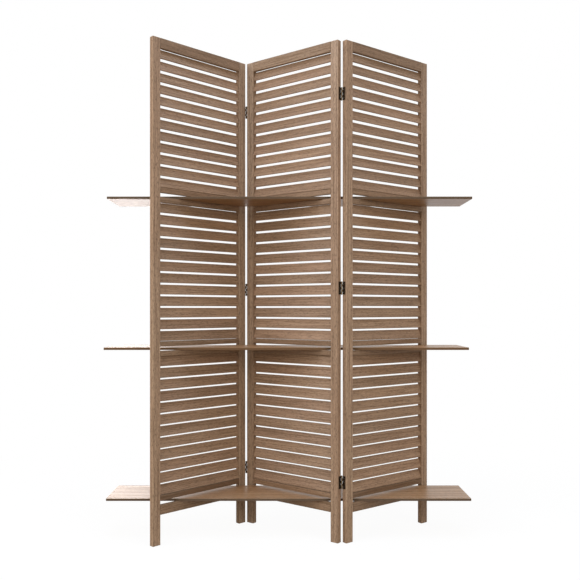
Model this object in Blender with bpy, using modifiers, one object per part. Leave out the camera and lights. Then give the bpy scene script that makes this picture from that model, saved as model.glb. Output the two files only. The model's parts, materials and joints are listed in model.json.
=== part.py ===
"""Folding screen with shelves: three louvred wood panels and three shelf boards.

The panels stand in a zigzag and are joined by six butt hinges.  Each panel has
two stiles, seven rails and three banks of tilted slats, and three slots through
which the shelf boards are threaded.  A board rests on the rail below its slot,
behind the near stiles and in front of the far ones.

Units are metres, +Z is up, the front of the screen faces -Y, and the origin is
on the floor under the middle of the whole screen.  Within a panel, X runs along
its width from its left end, Y from its front face to its back face.
"""

import math

import bmesh
import bpy
from mathutils import Matrix, Vector

# Panel frame
SCREEN_HEIGHT = 1.700
PANEL_WIDTH = 0.400
STILE_WIDTH = 0.030
STILE_THICKNESS = 0.019
STILE_CHAMFER = 0.0012
FOOT_HEIGHT = 0.101
BOTTOM_RAIL_HEIGHT = 0.033
SLOT_SILL_HEIGHT = 0.018
SLOT_HEAD_HEIGHT = 0.0175
TOP_RAIL_HEIGHT = 0.0345
RAIL_THICKNESS = 0.012
RAIL_CHAMFER = 0.0008

# Joints in the wood
SEAT_GAP = 0.0003
GROOVE_DEPTH = 0.0063
TONGUE_THICKNESS = 0.006
TONGUE_SHOULDER = 0.0005
TONGUE_INSET = 0.004
COMB_LAP = 0.001
CUT_OVERRUN = 0.004

# Slats
SLATS_IN_A_BANK = 12
SLAT_WIDTH = 0.0343
SLAT_THICKNESS = 0.005
SLAT_CHAMFER = 0.0010
SLAT_CLEARANCE = 0.00045
SLAT_TILT = 18.3

# Shelf boards
SHELF_LENGTH = 1.250
SHELF_THICKNESS = 0.0085
SHELF_CHAMFER = 0.0008
SHELF_PLAY = 0.006
SHELF_SHIFT = 0.014
SHELF_FRONT_CLEARANCE = 0.0018
SHELF_BACK_CLEARANCE = 0.004
# How far to the right of the screen's middle each board lies
LOWER_SHELF_SLIP = 0.0024
MIDDLE_SHELF_SLIP = -0.0055
UPPER_SHELF_SLIP = 0.0055

# How the screen stands: each panel's turn from the boards, in degrees
LEFT_TURN = 43.2
MIDDLE_TURN = -36.8
RIGHT_TURN = 36.8

# Hinges
HINGE_HEIGHT = 0.0435
TOP_HINGE_DROP = 0.180
BOTTOM_HINGE_RISE = 0.204
HINGE_SETBACK = 0.003
HINGE_STANDOFF = 0.0005
KNUCKLE_RADIUS = 0.0025
KNUCKLE_COUNT = 5
KNUCKLE_GAP = 0.0004
KNUCKLE_SIDES = 12
PIN_RADIUS = 0.0012
PIN_PLAY = 0.00008
PIN_HEAD_RADIUS = 0.0019
PIN_HEAD_HEIGHT = 0.0008
PIN_SEAM = 0.00001
LEAF_WIDTH = 0.015
LEAF_THICKNESS = 0.0012
SCREW_HEAD_RADIUS = 0.0025
SCREW_HEAD_HEIGHT = 0.0004
SCREW_HEAD_SINK = 0.0006
SCREW_SHANK_RADIUS = 0.00125
SCREW_LENGTH = 0.010
SCREW_SIDES = 6
SCREW_PITCH = 0.014
SCREW_OFFSET = 0.0095
PILOT_PLAY = 0.0004

# Worked out from the sizes above
SLOT_HEIGHT = SHELF_THICKNESS + SHELF_PLAY
RAIL_LENGTH = PANEL_WIDTH - 2 * STILE_WIDTH - 2 * SEAT_GAP
TONGUE_LENGTH = PANEL_WIDTH - 2 * STILE_WIDTH + 2 * (GROOVE_DEPTH - SEAT_GAP)
TONGUE_MIDDLE = RAIL_THICKNESS - TONGUE_SHOULDER - TONGUE_THICKNESS / 2
BANK_HEIGHT = (SCREEN_HEIGHT - FOOT_HEIGHT - BOTTOM_RAIL_HEIGHT - TOP_RAIL_HEIGHT
               - 2 * SLOT_SILL_HEIGHT - 3 * SLOT_HEAD_HEIGHT - 3 * SLOT_HEIGHT) / 3
LOWER_SILL = FOOT_HEIGHT + BOTTOM_RAIL_HEIGHT
LOWER_BANK = LOWER_SILL + SLOT_HEIGHT + SLOT_HEAD_HEIGHT
MIDDLE_SILL = LOWER_BANK + BANK_HEIGHT + SLOT_SILL_HEIGHT
MIDDLE_BANK = MIDDLE_SILL + SLOT_HEIGHT + SLOT_HEAD_HEIGHT
UPPER_SILL = MIDDLE_BANK + BANK_HEIGHT + SLOT_SILL_HEIGHT
UPPER_BANK = UPPER_SILL + SLOT_HEIGHT + SLOT_HEAD_HEIGHT
SLAT_RISE = (SLAT_WIDTH * math.cos(math.radians(SLAT_TILT))
             + SLAT_THICKNESS * math.sin(math.radians(SLAT_TILT)))
SLAT_PITCH = (BANK_HEIGHT - 2 * SLAT_CLEARANCE - SLAT_RISE) / (SLATS_IN_A_BANK - 1)

# Each rail's name, lower edge and height
RAILS = (
    ("bottom_rail", FOOT_HEIGHT, BOTTOM_RAIL_HEIGHT),
    ("lower_slot_head", LOWER_SILL + SLOT_HEIGHT, SLOT_HEAD_HEIGHT),
    ("middle_slot_sill", MIDDLE_SILL - SLOT_SILL_HEIGHT, SLOT_SILL_HEIGHT),
    ("middle_slot_head", MIDDLE_SILL + SLOT_HEIGHT, SLOT_HEAD_HEIGHT),
    ("upper_slot_sill", UPPER_SILL - SLOT_SILL_HEIGHT, SLOT_SILL_HEIGHT),
    ("upper_slot_head", UPPER_SILL + SLOT_HEIGHT, SLOT_HEAD_HEIGHT),
    ("top_rail", SCREEN_HEIGHT - TOP_RAIL_HEIGHT, TOP_RAIL_HEIGHT),
)
# Each bank of slats, by its lower edge
BANKS = (
    ("lower_louvre", LOWER_BANK),
    ("middle_louvre", MIDDLE_BANK),
    ("upper_louvre", UPPER_BANK),
)
# The grooves of a stile, by the rail edges that they run between
GROOVES = (
    (FOOT_HEIGHT, LOWER_SILL),
    (LOWER_SILL + SLOT_HEIGHT, MIDDLE_SILL),
    (MIDDLE_SILL + SLOT_HEIGHT, UPPER_SILL),
    (UPPER_SILL + SLOT_HEIGHT, SCREEN_HEIGHT),
)
# The boards, by the height of the rail that each one rests on and its slip
SHELVES = (
    ("lower_shelf", LOWER_SILL, LOWER_SHELF_SLIP),
    ("middle_shelf", MIDDLE_SILL, MIDDLE_SHELF_SLIP),
    ("upper_shelf", UPPER_SILL, UPPER_SHELF_SLIP),
)
BOTTOM_HINGE = BOTTOM_HINGE_RISE
TOP_HINGE = SCREEN_HEIGHT - TOP_HINGE_DROP
HINGES = (
    ("bottom", BOTTOM_HINGE),
    ("middle", (BOTTOM_HINGE + TOP_HINGE) / 2),
    ("top", TOP_HINGE),
)

WOOD_STILE = ("stile_wood", (0.235, 0.155, 0.105, 1.0), 0.62, 0.0)
WOOD_RAIL = ("rail_wood", (0.205, 0.140, 0.095, 1.0), 0.64, 0.0)
WOOD_SLAT = ("slat_wood", (0.215, 0.145, 0.098, 1.0), 0.64, 0.0)
WOOD_SHELF = ("shelf_wood", (0.180, 0.120, 0.080, 1.0), 0.62, 0.0)
METAL_LEAF = ("dark_metal", (0.020, 0.017, 0.015, 1.0), 0.42, 0.9)
METAL_PIN = ("pin_metal", (0.030, 0.026, 0.022, 1.0), 0.35, 1.0)


def along(turn):
    """Unit vector along a panel turned by so many degrees."""
    angle = math.radians(turn)
    return Vector((math.cos(angle), math.sin(angle), 0))


def across(turn):
    """Unit vector through a panel, from its front face to its back face."""
    angle = math.radians(turn)
    return Vector((-math.sin(angle), math.cos(angle), 0))


def floor_plan():
    """Places of the panels, hinge axes and boards, seen from above."""
    left, middle, right = LEFT_TURN, MIDDLE_TURN, RIGHT_TURN
    corner = {"middle": Vector((0, 0, 0))}
    far_axis = (-HINGE_SETBACK * along(middle) - HINGE_STANDOFF * across(middle))
    near_axis = ((PANEL_WIDTH + HINGE_SETBACK) * along(middle)
                 + (STILE_THICKNESS + HINGE_STANDOFF) * across(middle))
    corner["left"] = (far_axis - (PANEL_WIDTH + HINGE_SETBACK) * along(left)
                      + HINGE_STANDOFF * across(left))
    corner["right"] = (near_axis + HINGE_SETBACK * along(right)
                       - (STILE_THICKNESS + HINGE_STANDOFF) * across(right))
    turns = {"left": left, "middle": middle, "right": right}

    def spot(panel, width, depth):
        return corner[panel] + width * along(turns[panel]) + depth * across(turns[panel])

    inner = PANEL_WIDTH - STILE_WIDTH
    near_limit = max(
        spot("left", STILE_WIDTH, STILE_THICKNESS).y,
        spot("middle", inner, STILE_THICKNESS).y,
        spot("right", STILE_WIDTH, STILE_THICKNESS).y)
    far_limit = min(spot("left", inner, 0).y, spot("middle", STILE_WIDTH, 0).y,
                    spot("right", inner, 0).y)
    front = near_limit + SHELF_FRONT_CLEARANCE
    back = far_limit - SHELF_BACK_CLEARANCE
    middle_axis = spot("middle", PANEL_WIDTH / 2, STILE_THICKNESS / 2)
    ends = [spot(panel, width, depth).y for panel in turns
            for width in (0, PANEL_WIDTH) for depth in (0, STILE_THICKNESS)]
    origin = Vector((middle_axis.x - SHELF_SHIFT, (min(ends) + max(ends)) / 2, 0))
    return {
        "turns": turns,
        "corner": {panel: place - origin for panel, place in corner.items()},
        "far_axis": far_axis - origin,
        "near_axis": near_axis - origin,
        "shelf_axis": middle_axis - origin,
        "shelf_middle": Vector((0, (front + back) / 2 - origin.y, 0)),
        "shelf_depth": back - front,
    }


def material(spec):
    """The Principled material of a kind of piece, made once."""
    name, colour, roughness, metallic = spec
    found = bpy.data.materials.get(name)
    if found:
        return found
    made = bpy.data.materials.new(name)
    made.use_nodes = True
    shader = made.node_tree.nodes["Principled BSDF"]
    shader.inputs["Base Color"].default_value = colour
    shader.inputs["Roughness"].default_value = roughness
    shader.inputs["Metallic"].default_value = metallic
    made.diffuse_color = colour
    return made


def box_mesh(name, boxes, chamfer=0.0, long_axis=0, tilt=0.0):
    """A mesh of boxes, each a middle and a size, with its long edges chamfered."""
    mesh = bpy.data.meshes.new(name)
    work = bmesh.new()
    turn = Matrix.Rotation(math.radians(tilt), 4, "X")
    for middle, size in boxes:
        place = Matrix.Translation(middle) @ turn @ Matrix.Diagonal((*size, 1))
        bmesh.ops.create_cube(work, size=1, matrix=place)
    if chamfer:
        def runs_along(edge):
            run = edge.verts[1].co - edge.verts[0].co
            return abs(run[long_axis]) > run.length / 2
        edges = [edge for edge in work.edges if runs_along(edge)]
        bmesh.ops.bevel(work, geom=edges, offset=chamfer, segments=1,
                        profile=0.5, affect="EDGES")
    work.to_mesh(mesh)
    work.free()
    return mesh


def rod_mesh(name, rods, sides, axis="Z"):
    """A mesh of solid rods, each a middle, a radius and a length."""
    mesh = bpy.data.meshes.new(name)
    work = bmesh.new()
    turn = Matrix.Rotation(math.pi / 2, 4, "Y") if axis == "X" else Matrix.Identity(4)
    for middle, radius, length in rods:
        bmesh.ops.create_cone(work, cap_ends=True, segments=sides, radius1=radius,
                              radius2=radius, depth=length,
                              matrix=Matrix.Translation(middle) @ turn)
    work.to_mesh(mesh)
    work.free()
    return mesh


def put(name, mesh, parent, place, spec, collection):
    """One sub-part, placed in its parent's frame."""
    piece = bpy.data.objects.new(name, mesh)
    collection.objects.link(piece)
    piece.parent = parent
    piece.location = place
    mesh.materials.append(material(spec))
    return piece


def tool(name, mesh, like, collection):
    """A cutter or an addition for a piece, in the piece's own frame."""
    helper = bpy.data.objects.new(name, mesh)
    collection.objects.link(helper)
    helper.parent = like.parent
    helper.location = like.location
    helper.hide_render = True
    helper.display_type = "WIRE"
    return helper


def combine(piece, helper, operation):
    """Cut a piece with a helper, or join the helper to it."""
    change = piece.modifiers.new(helper.name, "BOOLEAN")
    change.operation = operation
    change.solver = "EXACT"
    change.object = helper


def frame_empty(name, place, turn, collection):
    """An empty on a panel's corner or on a joint's axis."""
    empty = bpy.data.objects.new(name, None)
    collection.objects.link(empty)
    empty.location = place
    empty.rotation_euler = (0, 0, math.radians(turn))
    empty.empty_display_size = STILE_WIDTH
    return empty


def screw_places():
    """Height and distance from the hinge axis of a leaf's screws."""
    stagger = SCREW_HEAD_RADIUS / 2
    return ((-SCREW_PITCH, SCREW_OFFSET - stagger), (0, SCREW_OFFSET + stagger),
            (SCREW_PITCH, SCREW_OFFSET - stagger))


class Panel:
    """One louvred panel, built in the frame of its empty."""

    def __init__(self, name, empty, start, parts, tools):
        self.name = name
        self.empty = empty
        self.start = start
        self.parts = parts
        self.tools = tools

    def at(self, width, depth, height):
        """A place in the panel, as the empty's own coordinates."""
        return self.start + Vector((width, depth, height))

    def stile(self, side, hinge_side, hinge_front):
        """A full-height stile with grooves and the hinge screws' pilot holes."""
        first = side == "left"
        middle = STILE_WIDTH / 2 if first else PANEL_WIDTH - STILE_WIDTH / 2
        mesh = box_mesh(f"{self.name}_stile_{side}", [
            (Vector((0, 0, 0)), (STILE_WIDTH, STILE_THICKNESS, SCREEN_HEIGHT))],
            STILE_CHAMFER, 2)
        piece = put(f"{self.name}_stile_{side}", mesh, self.empty,
                    self.at(middle, STILE_THICKNESS / 2, SCREEN_HEIGHT / 2),
                    WOOD_STILE, self.parts)
        inward = 1 if first else -1
        cut = GROOVE_DEPTH + CUT_OVERRUN
        grooves = []
        for low, high in GROOVES:
            bottom = low + TONGUE_INSET - SEAT_GAP
            top = high - TONGUE_INSET + SEAT_GAP
            grooves.append((
                Vector((inward * (STILE_WIDTH / 2 - GROOVE_DEPTH + cut / 2),
                        TONGUE_MIDDLE - STILE_THICKNESS / 2,
                        (bottom + top) / 2 - SCREEN_HEIGHT / 2)),
                (cut, TONGUE_THICKNESS + 2 * SEAT_GAP, top - bottom)))
        cutter = tool(f"{piece.name}_grooves",
                      box_mesh(f"{piece.name}_grooves", grooves), piece, self.tools)
        combine(piece, cutter, "DIFFERENCE")
        if hinge_side:
            depth = SCREW_LENGTH + SEAT_GAP + CUT_OVERRUN
            reach = -inward * (STILE_WIDTH / 2 - SCREW_LENGTH - SEAT_GAP + depth / 2)
            edge = (-HINGE_STANDOFF if hinge_front else STILE_THICKNESS + HINGE_STANDOFF)
            way = 1 if hinge_front else -1
            holes = []
            for _, height in HINGES:
                for rise, offset in screw_places():
                    holes.append((
                        Vector((reach, edge + way * offset - STILE_THICKNESS / 2,
                                height + rise - SCREEN_HEIGHT / 2)),
                        SCREW_SHANK_RADIUS + PILOT_PLAY, depth))
            cutter = tool(f"{piece.name}_pilots",
                          rod_mesh(f"{piece.name}_pilots", holes, SCREW_SIDES, "X"),
                          piece, self.tools)
            combine(piece, cutter, "DIFFERENCE")
        return piece

    def rail(self, name, low, height):
        """A rail flush with the stiles' front faces, its tongues in their grooves."""
        mesh = box_mesh(f"{self.name}_{name}", [
            (Vector((0, 0, 0)), (RAIL_LENGTH, RAIL_THICKNESS, height))],
            RAIL_CHAMFER, 0)
        piece = put(f"{self.name}_{name}", mesh, self.empty,
                    self.at(PANEL_WIDTH / 2, RAIL_THICKNESS / 2, low + height / 2),
                    WOOD_RAIL, self.parts)
        tongue = box_mesh(f"{piece.name}_tongue", [
            (Vector((0, TONGUE_MIDDLE - RAIL_THICKNESS / 2, 0)),
             (TONGUE_LENGTH, TONGUE_THICKNESS, height - 2 * TONGUE_INSET))])
        combine(piece, tool(f"{piece.name}_tongue", tongue, piece, self.tools), "UNION")
        return piece

    def bank(self, name, low):
        """A bank of tilted slats on two combs that lie in the stiles' grooves."""
        top_slat = BANK_HEIGHT / 2 - SLAT_CLEARANCE - SLAT_RISE / 2
        mesh = box_mesh(f"{self.name}_{name}", [
            (Vector((0, 0, top_slat)), (RAIL_LENGTH, SLAT_THICKNESS, SLAT_WIDTH))],
            SLAT_CHAMFER, 0, -SLAT_TILT)
        piece = put(f"{self.name}_{name}", mesh, self.empty,
                    self.at(PANEL_WIDTH / 2, STILE_THICKNESS / 2, low + BANK_HEIGHT / 2),
                    WOOD_SLAT, self.parts)
        row = piece.modifiers.new("slats", "ARRAY")
        row.count = SLATS_IN_A_BANK
        row.use_relative_offset = False
        row.use_constant_offset = True
        row.constant_offset_displace = (0, 0, -SLAT_PITCH)
        width = GROOVE_DEPTH - SEAT_GAP + COMB_LAP
        reach = TONGUE_LENGTH / 2 - width / 2
        size = (width, TONGUE_THICKNESS, BANK_HEIGHT - 2 * SEAT_GAP)
        depth = TONGUE_MIDDLE - STILE_THICKNESS / 2
        combs = box_mesh(f"{piece.name}_combs", [
            (Vector((side * reach, depth, 0)), size) for side in (-1, 1)])
        combine(piece, tool(f"{piece.name}_combs", combs, piece, self.tools), "UNION")
        return piece

    def build(self, left_hinge_front, right_hinge_front):
        """All of the panel's wood; a hinge side of None has no hinges."""
        self.stile("left", left_hinge_front is not None, left_hinge_front)
        self.stile("right", right_hinge_front is not None, right_hinge_front)
        for name, low, height in RAILS:
            self.rail(name, low, height)
        for name, low in BANKS:
            self.bank(name, low)


def leaf(name, panel, hinge_x, at_front, wood_side, own_knuckles, height):
    """A hinge leaf with its knuckles and screws, on a stile's edge.

    wood_side is -1 where the wood lies towards -X of the axis and 1 towards +X.
    """
    way = 1 if at_front else -1
    edge = -HINGE_STANDOFF if at_front else STILE_THICKNESS + HINGE_STANDOFF
    near_face = HINGE_SETBACK - SEAT_GAP - LEAF_THICKNESS
    plate_x = wood_side * (near_face + LEAF_THICKNESS / 2)
    mesh = box_mesh(name, [
        (Vector((plate_x, way * LEAF_WIDTH / 2, 0)),
         (LEAF_THICKNESS, LEAF_WIDTH, HINGE_HEIGHT))])
    piece = put(name, mesh, panel.empty, panel.at(hinge_x, edge, height),
                METAL_LEAF, panel.parts)
    step = (HINGE_HEIGHT + KNUCKLE_GAP) / KNUCKLE_COUNT
    length = step - KNUCKLE_GAP
    lowest = -HINGE_HEIGHT / 2 + length / 2
    clear = KNUCKLE_RADIUS + KNUCKLE_GAP
    notches, knuckles = [], []
    for index in range(KNUCKLE_COUNT):
        rise = lowest + index * step
        if index in own_knuckles:
            knuckles.append((Vector((0, 0, rise)), KNUCKLE_RADIUS, length))
        else:
            run = 0 if index in (0, KNUCKLE_COUNT - 1) else 1
            outward = 0 if run else (CUT_OVERRUN / 2 if index else -CUT_OVERRUN / 2)
            tall = length + 2 * KNUCKLE_GAP + (0 if run else CUT_OVERRUN)
            notches.append((
                Vector((plate_x, way * (clear - CUT_OVERRUN) / 2, rise + outward)),
                (LEAF_THICKNESS + CUT_OVERRUN, clear + CUT_OVERRUN, tall)))
    combine(piece, tool(f"{name}_notches", box_mesh(f"{name}_notches", notches),
                        piece, panel.tools), "DIFFERENCE")
    combine(piece, tool(f"{name}_knuckles",
                        rod_mesh(f"{name}_knuckles", knuckles, KNUCKLE_SIDES),
                        piece, panel.tools), "UNION")
    shank = SCREW_LENGTH + SEAT_GAP + LEAF_THICKNESS / 2
    shanks, heads = [], []
    for rise, offset in screw_places():
        shanks.append((
            Vector((wood_side * (near_face + LEAF_THICKNESS / 2 + shank / 2),
                    way * offset, rise)), SCREW_SHANK_RADIUS, shank - SEAT_GAP))
        heads.append((
            Vector((wood_side * (near_face + (SCREW_HEAD_SINK - SCREW_HEAD_HEIGHT) / 2),
                    way * offset, rise)),
            SCREW_HEAD_RADIUS, SCREW_HEAD_SINK + SCREW_HEAD_HEIGHT))
    for label, rods in (("shanks", shanks), ("heads", heads)):
        combine(piece, tool(f"{name}_{label}",
                            rod_mesh(f"{name}_{label}", rods, SCREW_SIDES, "X"),
                            piece, panel.tools), "UNION")
    bore = rod_mesh(f"{name}_bore", [
        (Vector((0, 0, 0)), PIN_RADIUS + PIN_PLAY, HINGE_HEIGHT + 2 * CUT_OVERRUN)],
        KNUCKLE_SIDES)
    combine(piece, tool(f"{name}_bore", bore, piece, panel.tools), "DIFFERENCE")
    return piece


def pin(name, panel, hinge_x, at_front, height):
    """A hinge pin with a button head at each end, turned from its profile."""
    edge = -HINGE_STANDOFF if at_front else STILE_THICKNESS + HINGE_STANDOFF
    under = HINGE_HEIGHT / 2 + SEAT_GAP
    top = under + PIN_HEAD_HEIGHT
    profile = [(0, top), (PIN_HEAD_RADIUS, top), (PIN_HEAD_RADIUS, under),
               (PIN_RADIUS, under), (PIN_RADIUS, -under), (PIN_HEAD_RADIUS, -under),
               (PIN_HEAD_RADIUS, -top), (0, -top)]
    mesh = bpy.data.meshes.new(name)
    work = bmesh.new()
    points = [work.verts.new((radius, 0, rise)) for radius, rise in profile]
    for first, second in zip(points, points[1:]):
        work.edges.new((first, second))
    work.to_mesh(mesh)
    work.free()
    piece = put(name, mesh, panel.empty, panel.at(hinge_x, edge, height),
                METAL_PIN, panel.parts)
    turned = piece.modifiers.new("turned", "SCREW")
    turned.steps = KNUCKLE_SIDES
    turned.render_steps = KNUCKLE_SIDES
    turned.use_merge_vertices = True
    turned.merge_threshold = PIN_SEAM
    turned.use_smooth_shade = False
    return piece


def shelf(name, sill, slip, plan, empty, parts):
    """A straight shelf board that rests on the rail below its slot."""
    mesh = box_mesh(name, [
        (Vector((0, 0, 0)), (SHELF_LENGTH, plan["shelf_depth"], SHELF_THICKNESS))],
        SHELF_CHAMFER, 0)
    middle = plan["shelf_middle"] - plan["shelf_axis"]
    height = sill + SEAT_GAP + SHELF_THICKNESS / 2
    return put(name, mesh, empty, middle + Vector((slip, 0, height)), WOOD_SHELF,
               parts)


def clear_scene():
    """Remove whatever the file holds at the start."""
    for item in list(bpy.data.objects):
        bpy.data.objects.remove(item, do_unlink=True)


def main():
    clear_scene()
    parts = bpy.data.collections.new("folding_screen_with_shelves")
    tools = bpy.data.collections.new("cutters")
    for group in (parts, tools):
        bpy.context.scene.collection.children.link(group)
    plan = floor_plan()
    left_start = Vector((-PANEL_WIDTH - HINGE_SETBACK, HINGE_STANDOFF, 0))
    right_start = Vector((HINGE_SETBACK, -STILE_THICKNESS - HINGE_STANDOFF, 0))
    left = Panel("left", frame_empty("left_fold_axis", plan["far_axis"], LEFT_TURN, parts),
                 left_start, parts, tools)
    middle = Panel("middle", frame_empty("middle_panel_corner", plan["corner"]["middle"],
                                         MIDDLE_TURN, parts),
                   Vector((0, 0, 0)), parts, tools)
    right = Panel("right", frame_empty("right_fold_axis", plan["near_axis"], RIGHT_TURN,
                                       parts), right_start, parts, tools)
    left.build(None, True)
    middle.build(True, False)
    right.build(False, None)
    outer = range(0, KNUCKLE_COUNT, 2)
    inner = range(1, KNUCKLE_COUNT, 2)
    beyond = PANEL_WIDTH + HINGE_SETBACK
    for level, height in HINGES:
        leaf(f"left_hinge_{level}_leaf_outer", left, beyond, True, -1, inner, height)
        leaf(f"left_hinge_{level}_leaf_inner", middle, -HINGE_SETBACK, True, 1, outer,
             height)
        pin(f"left_hinge_{level}_pin", middle, -HINGE_SETBACK, True, height)
        leaf(f"right_hinge_{level}_leaf_inner", middle, beyond, False, -1, outer, height)
        leaf(f"right_hinge_{level}_leaf_outer", right, -HINGE_SETBACK, False, 1, inner,
             height)
        pin(f"right_hinge_{level}_pin", middle, beyond, False, height)
    shelf_empty = frame_empty("shelf_turn_axis", plan["shelf_axis"], 0, parts)
    for name, sill, slip in SHELVES:
        shelf(name, sill, slip, plan, shelf_empty, parts)


main()
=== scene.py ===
"""Looks of the folding screen with shelves.

Three louvred panels of washed wood stand in a zigzag on their stiles.  Six bronzed
butt hinges join them, and three loose boards are threaded through their slots.  The
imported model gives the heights, the fold axes and the bodies.  This script builds the
boards, slats, hinges and screws that are seen, in metres, in the same frame.
"""

from __future__ import annotations

import json
import logging
import math
import random
from collections.abc import Iterable, Mapping, Sequence
from dataclasses import dataclass, field, replace
from enum import Enum

import bmesh
import bpy
from mathutils import Matrix, Vector

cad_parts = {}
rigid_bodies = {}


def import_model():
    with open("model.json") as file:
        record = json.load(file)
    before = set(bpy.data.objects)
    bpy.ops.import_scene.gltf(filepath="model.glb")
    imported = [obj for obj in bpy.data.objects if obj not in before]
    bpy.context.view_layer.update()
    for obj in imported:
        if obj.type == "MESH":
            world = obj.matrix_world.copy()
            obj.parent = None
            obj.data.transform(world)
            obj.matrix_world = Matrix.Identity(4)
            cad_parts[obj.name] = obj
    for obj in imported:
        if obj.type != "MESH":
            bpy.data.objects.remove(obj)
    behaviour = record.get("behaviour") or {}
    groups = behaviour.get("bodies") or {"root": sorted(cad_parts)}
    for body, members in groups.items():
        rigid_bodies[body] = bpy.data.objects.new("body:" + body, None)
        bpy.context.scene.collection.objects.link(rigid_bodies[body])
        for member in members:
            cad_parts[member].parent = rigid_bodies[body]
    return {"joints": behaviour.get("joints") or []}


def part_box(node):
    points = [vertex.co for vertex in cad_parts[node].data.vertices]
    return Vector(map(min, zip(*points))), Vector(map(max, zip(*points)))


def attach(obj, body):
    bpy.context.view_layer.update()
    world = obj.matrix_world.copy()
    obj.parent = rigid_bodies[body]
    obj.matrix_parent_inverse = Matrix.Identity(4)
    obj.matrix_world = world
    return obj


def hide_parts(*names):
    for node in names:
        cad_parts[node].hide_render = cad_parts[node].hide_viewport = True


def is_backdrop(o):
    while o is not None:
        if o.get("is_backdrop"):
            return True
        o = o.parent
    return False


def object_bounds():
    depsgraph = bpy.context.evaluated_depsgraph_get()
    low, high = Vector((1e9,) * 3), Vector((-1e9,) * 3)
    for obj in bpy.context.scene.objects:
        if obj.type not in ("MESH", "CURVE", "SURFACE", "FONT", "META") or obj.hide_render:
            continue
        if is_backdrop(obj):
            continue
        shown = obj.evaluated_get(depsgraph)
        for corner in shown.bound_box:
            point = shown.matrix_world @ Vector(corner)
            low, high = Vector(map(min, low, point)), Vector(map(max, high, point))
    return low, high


log = logging.getLogger("folding_screen")

MM = 0.001

# Attributes that every wooden piece carries, all in the board's own frame
GRAIN = "grain"      # place in the board: along, across and through it, from its middle
HALF = "half_size"   # half the board's length, width and thickness
BOARD = "board"      # a number from 0 to 1 that tells one board from the next
# Attribute of a hinge leaf: how much of its pale colour shows, from 0 to 1. It is a
# painted highlight on the back barrels and a little rubbing on the front ones
PAINTED_HIGHLIGHT_AND_WEAR = "film_wear_and_highlight"
# Attribute of a screw's place: the way that its head faces
FACING = "facing"

WHITE = "#ffffff"


class PanelName(Enum):
    """The three panels, from left to right in front view."""

    LEFT = "left"
    MIDDLE = "middle"
    RIGHT = "right"

    @property
    def body(self) -> str:
        """The moving body that the panel's pieces ride on."""
        return f"{self.value}_panel"


class Slot(Enum):
    """Material slots of the record."""

    STILE = "stile_wood"
    RAIL = "rail_wood"
    SLAT = "slat_wood"
    SHELF = "shelf_wood"
    LEAF = "dark_metal"
    PIN = "pin_metal"


class Barrel(Enum):
    """The face of the panels that a hinge's barrel stands on."""

    FRONT = 1
    BACK = -1


def linear(colour: str) -> tuple[float, float, float, float]:
    """Turn an sRGB hex colour into a linear one.

    Args:
        colour: The colour, such as "#9f8673".

    Returns:
        Red, green and blue as light, and an alpha of one.
    """
    channels = []
    for start in (1, 3, 5):
        value = int(colour[start:start + 2], 16) / 255
        if value <= 0.04045:
            channels.append(value / 12.92)
        else:
            channels.append(((value + 0.055) / 1.055) ** 2.4)
    return (*channels, 1.0)


def add_node(
    tree: bpy.types.NodeTree,
    kind: str,
    settings: Mapping[str, object] | None = None,
    inputs: Mapping[str | int, object] | None = None,
) -> bpy.types.Node:
    """Add a node to a tree, with its settings and its inputs.

    Args:
        tree: The node tree.
        kind: The node's type.
        settings: Its properties, by name.
        inputs: Its inputs, by name or number: an output to link, or a plain value.

    Returns:
        The new node.
    """
    node = tree.nodes.new(kind)
    for name, value in (settings or {}).items():
        setattr(node, name, value)
    for key, value in (inputs or {}).items():
        if isinstance(value, bpy.types.NodeSocket):
            tree.links.new(value, node.inputs[key])
        else:
            node.inputs[key].default_value = value
    return node


# Setting of a Map Range node whose ends are eased
SMOOTH = {"interpolation_type": "SMOOTHSTEP"}
# Numbers of the sockets of a Mix node that mixes colours
MIX_FACTOR, MIX_FIRST, MIX_SECOND, MIX_RESULT = 0, 6, 7, 2
# Numbers of the sockets of a Random Value node that draws a fraction
RANDOM_LOW, RANDOM_HIGH, RANDOM_RESULT = 2, 3, 1


def add_object(name: str, data: bpy.types.ID) -> bpy.types.Object:
    """Put a new object in the scene.

    Args:
        name: Its name.
        data: Its mesh, lamp or camera.

    Returns:
        The object.
    """
    made = bpy.data.objects.new(name, data)
    bpy.context.scene.collection.objects.link(made)
    return made


@dataclass(frozen=True)
class Finish:
    """What a piece is made of.

    Attributes:
        name: The material's name.
    """

    name: str

    @property
    def main_colour(self) -> str:
        """The colour that most of the surface has."""
        raise NotImplementedError

    def dress(self, tree: bpy.types.NodeTree, shader: bpy.types.Node) -> None:
        """Lay the finish's patterns on the shader.

        Args:
            tree: The material's tree.
            shader: Its shader.
        """
        raise NotImplementedError

    def material(self) -> bpy.types.Material:
        """Build the material, or find it if it is built.

        Returns:
            The material.
        """
        found = bpy.data.materials.get(self.name)
        if found:
            return found
        made = bpy.data.materials.new(self.name)
        made.use_nodes = True
        made.diffuse_color = linear(self.main_colour)
        self.dress(made.node_tree, made.node_tree.nodes["Principled BSDF"])
        return made


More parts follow.
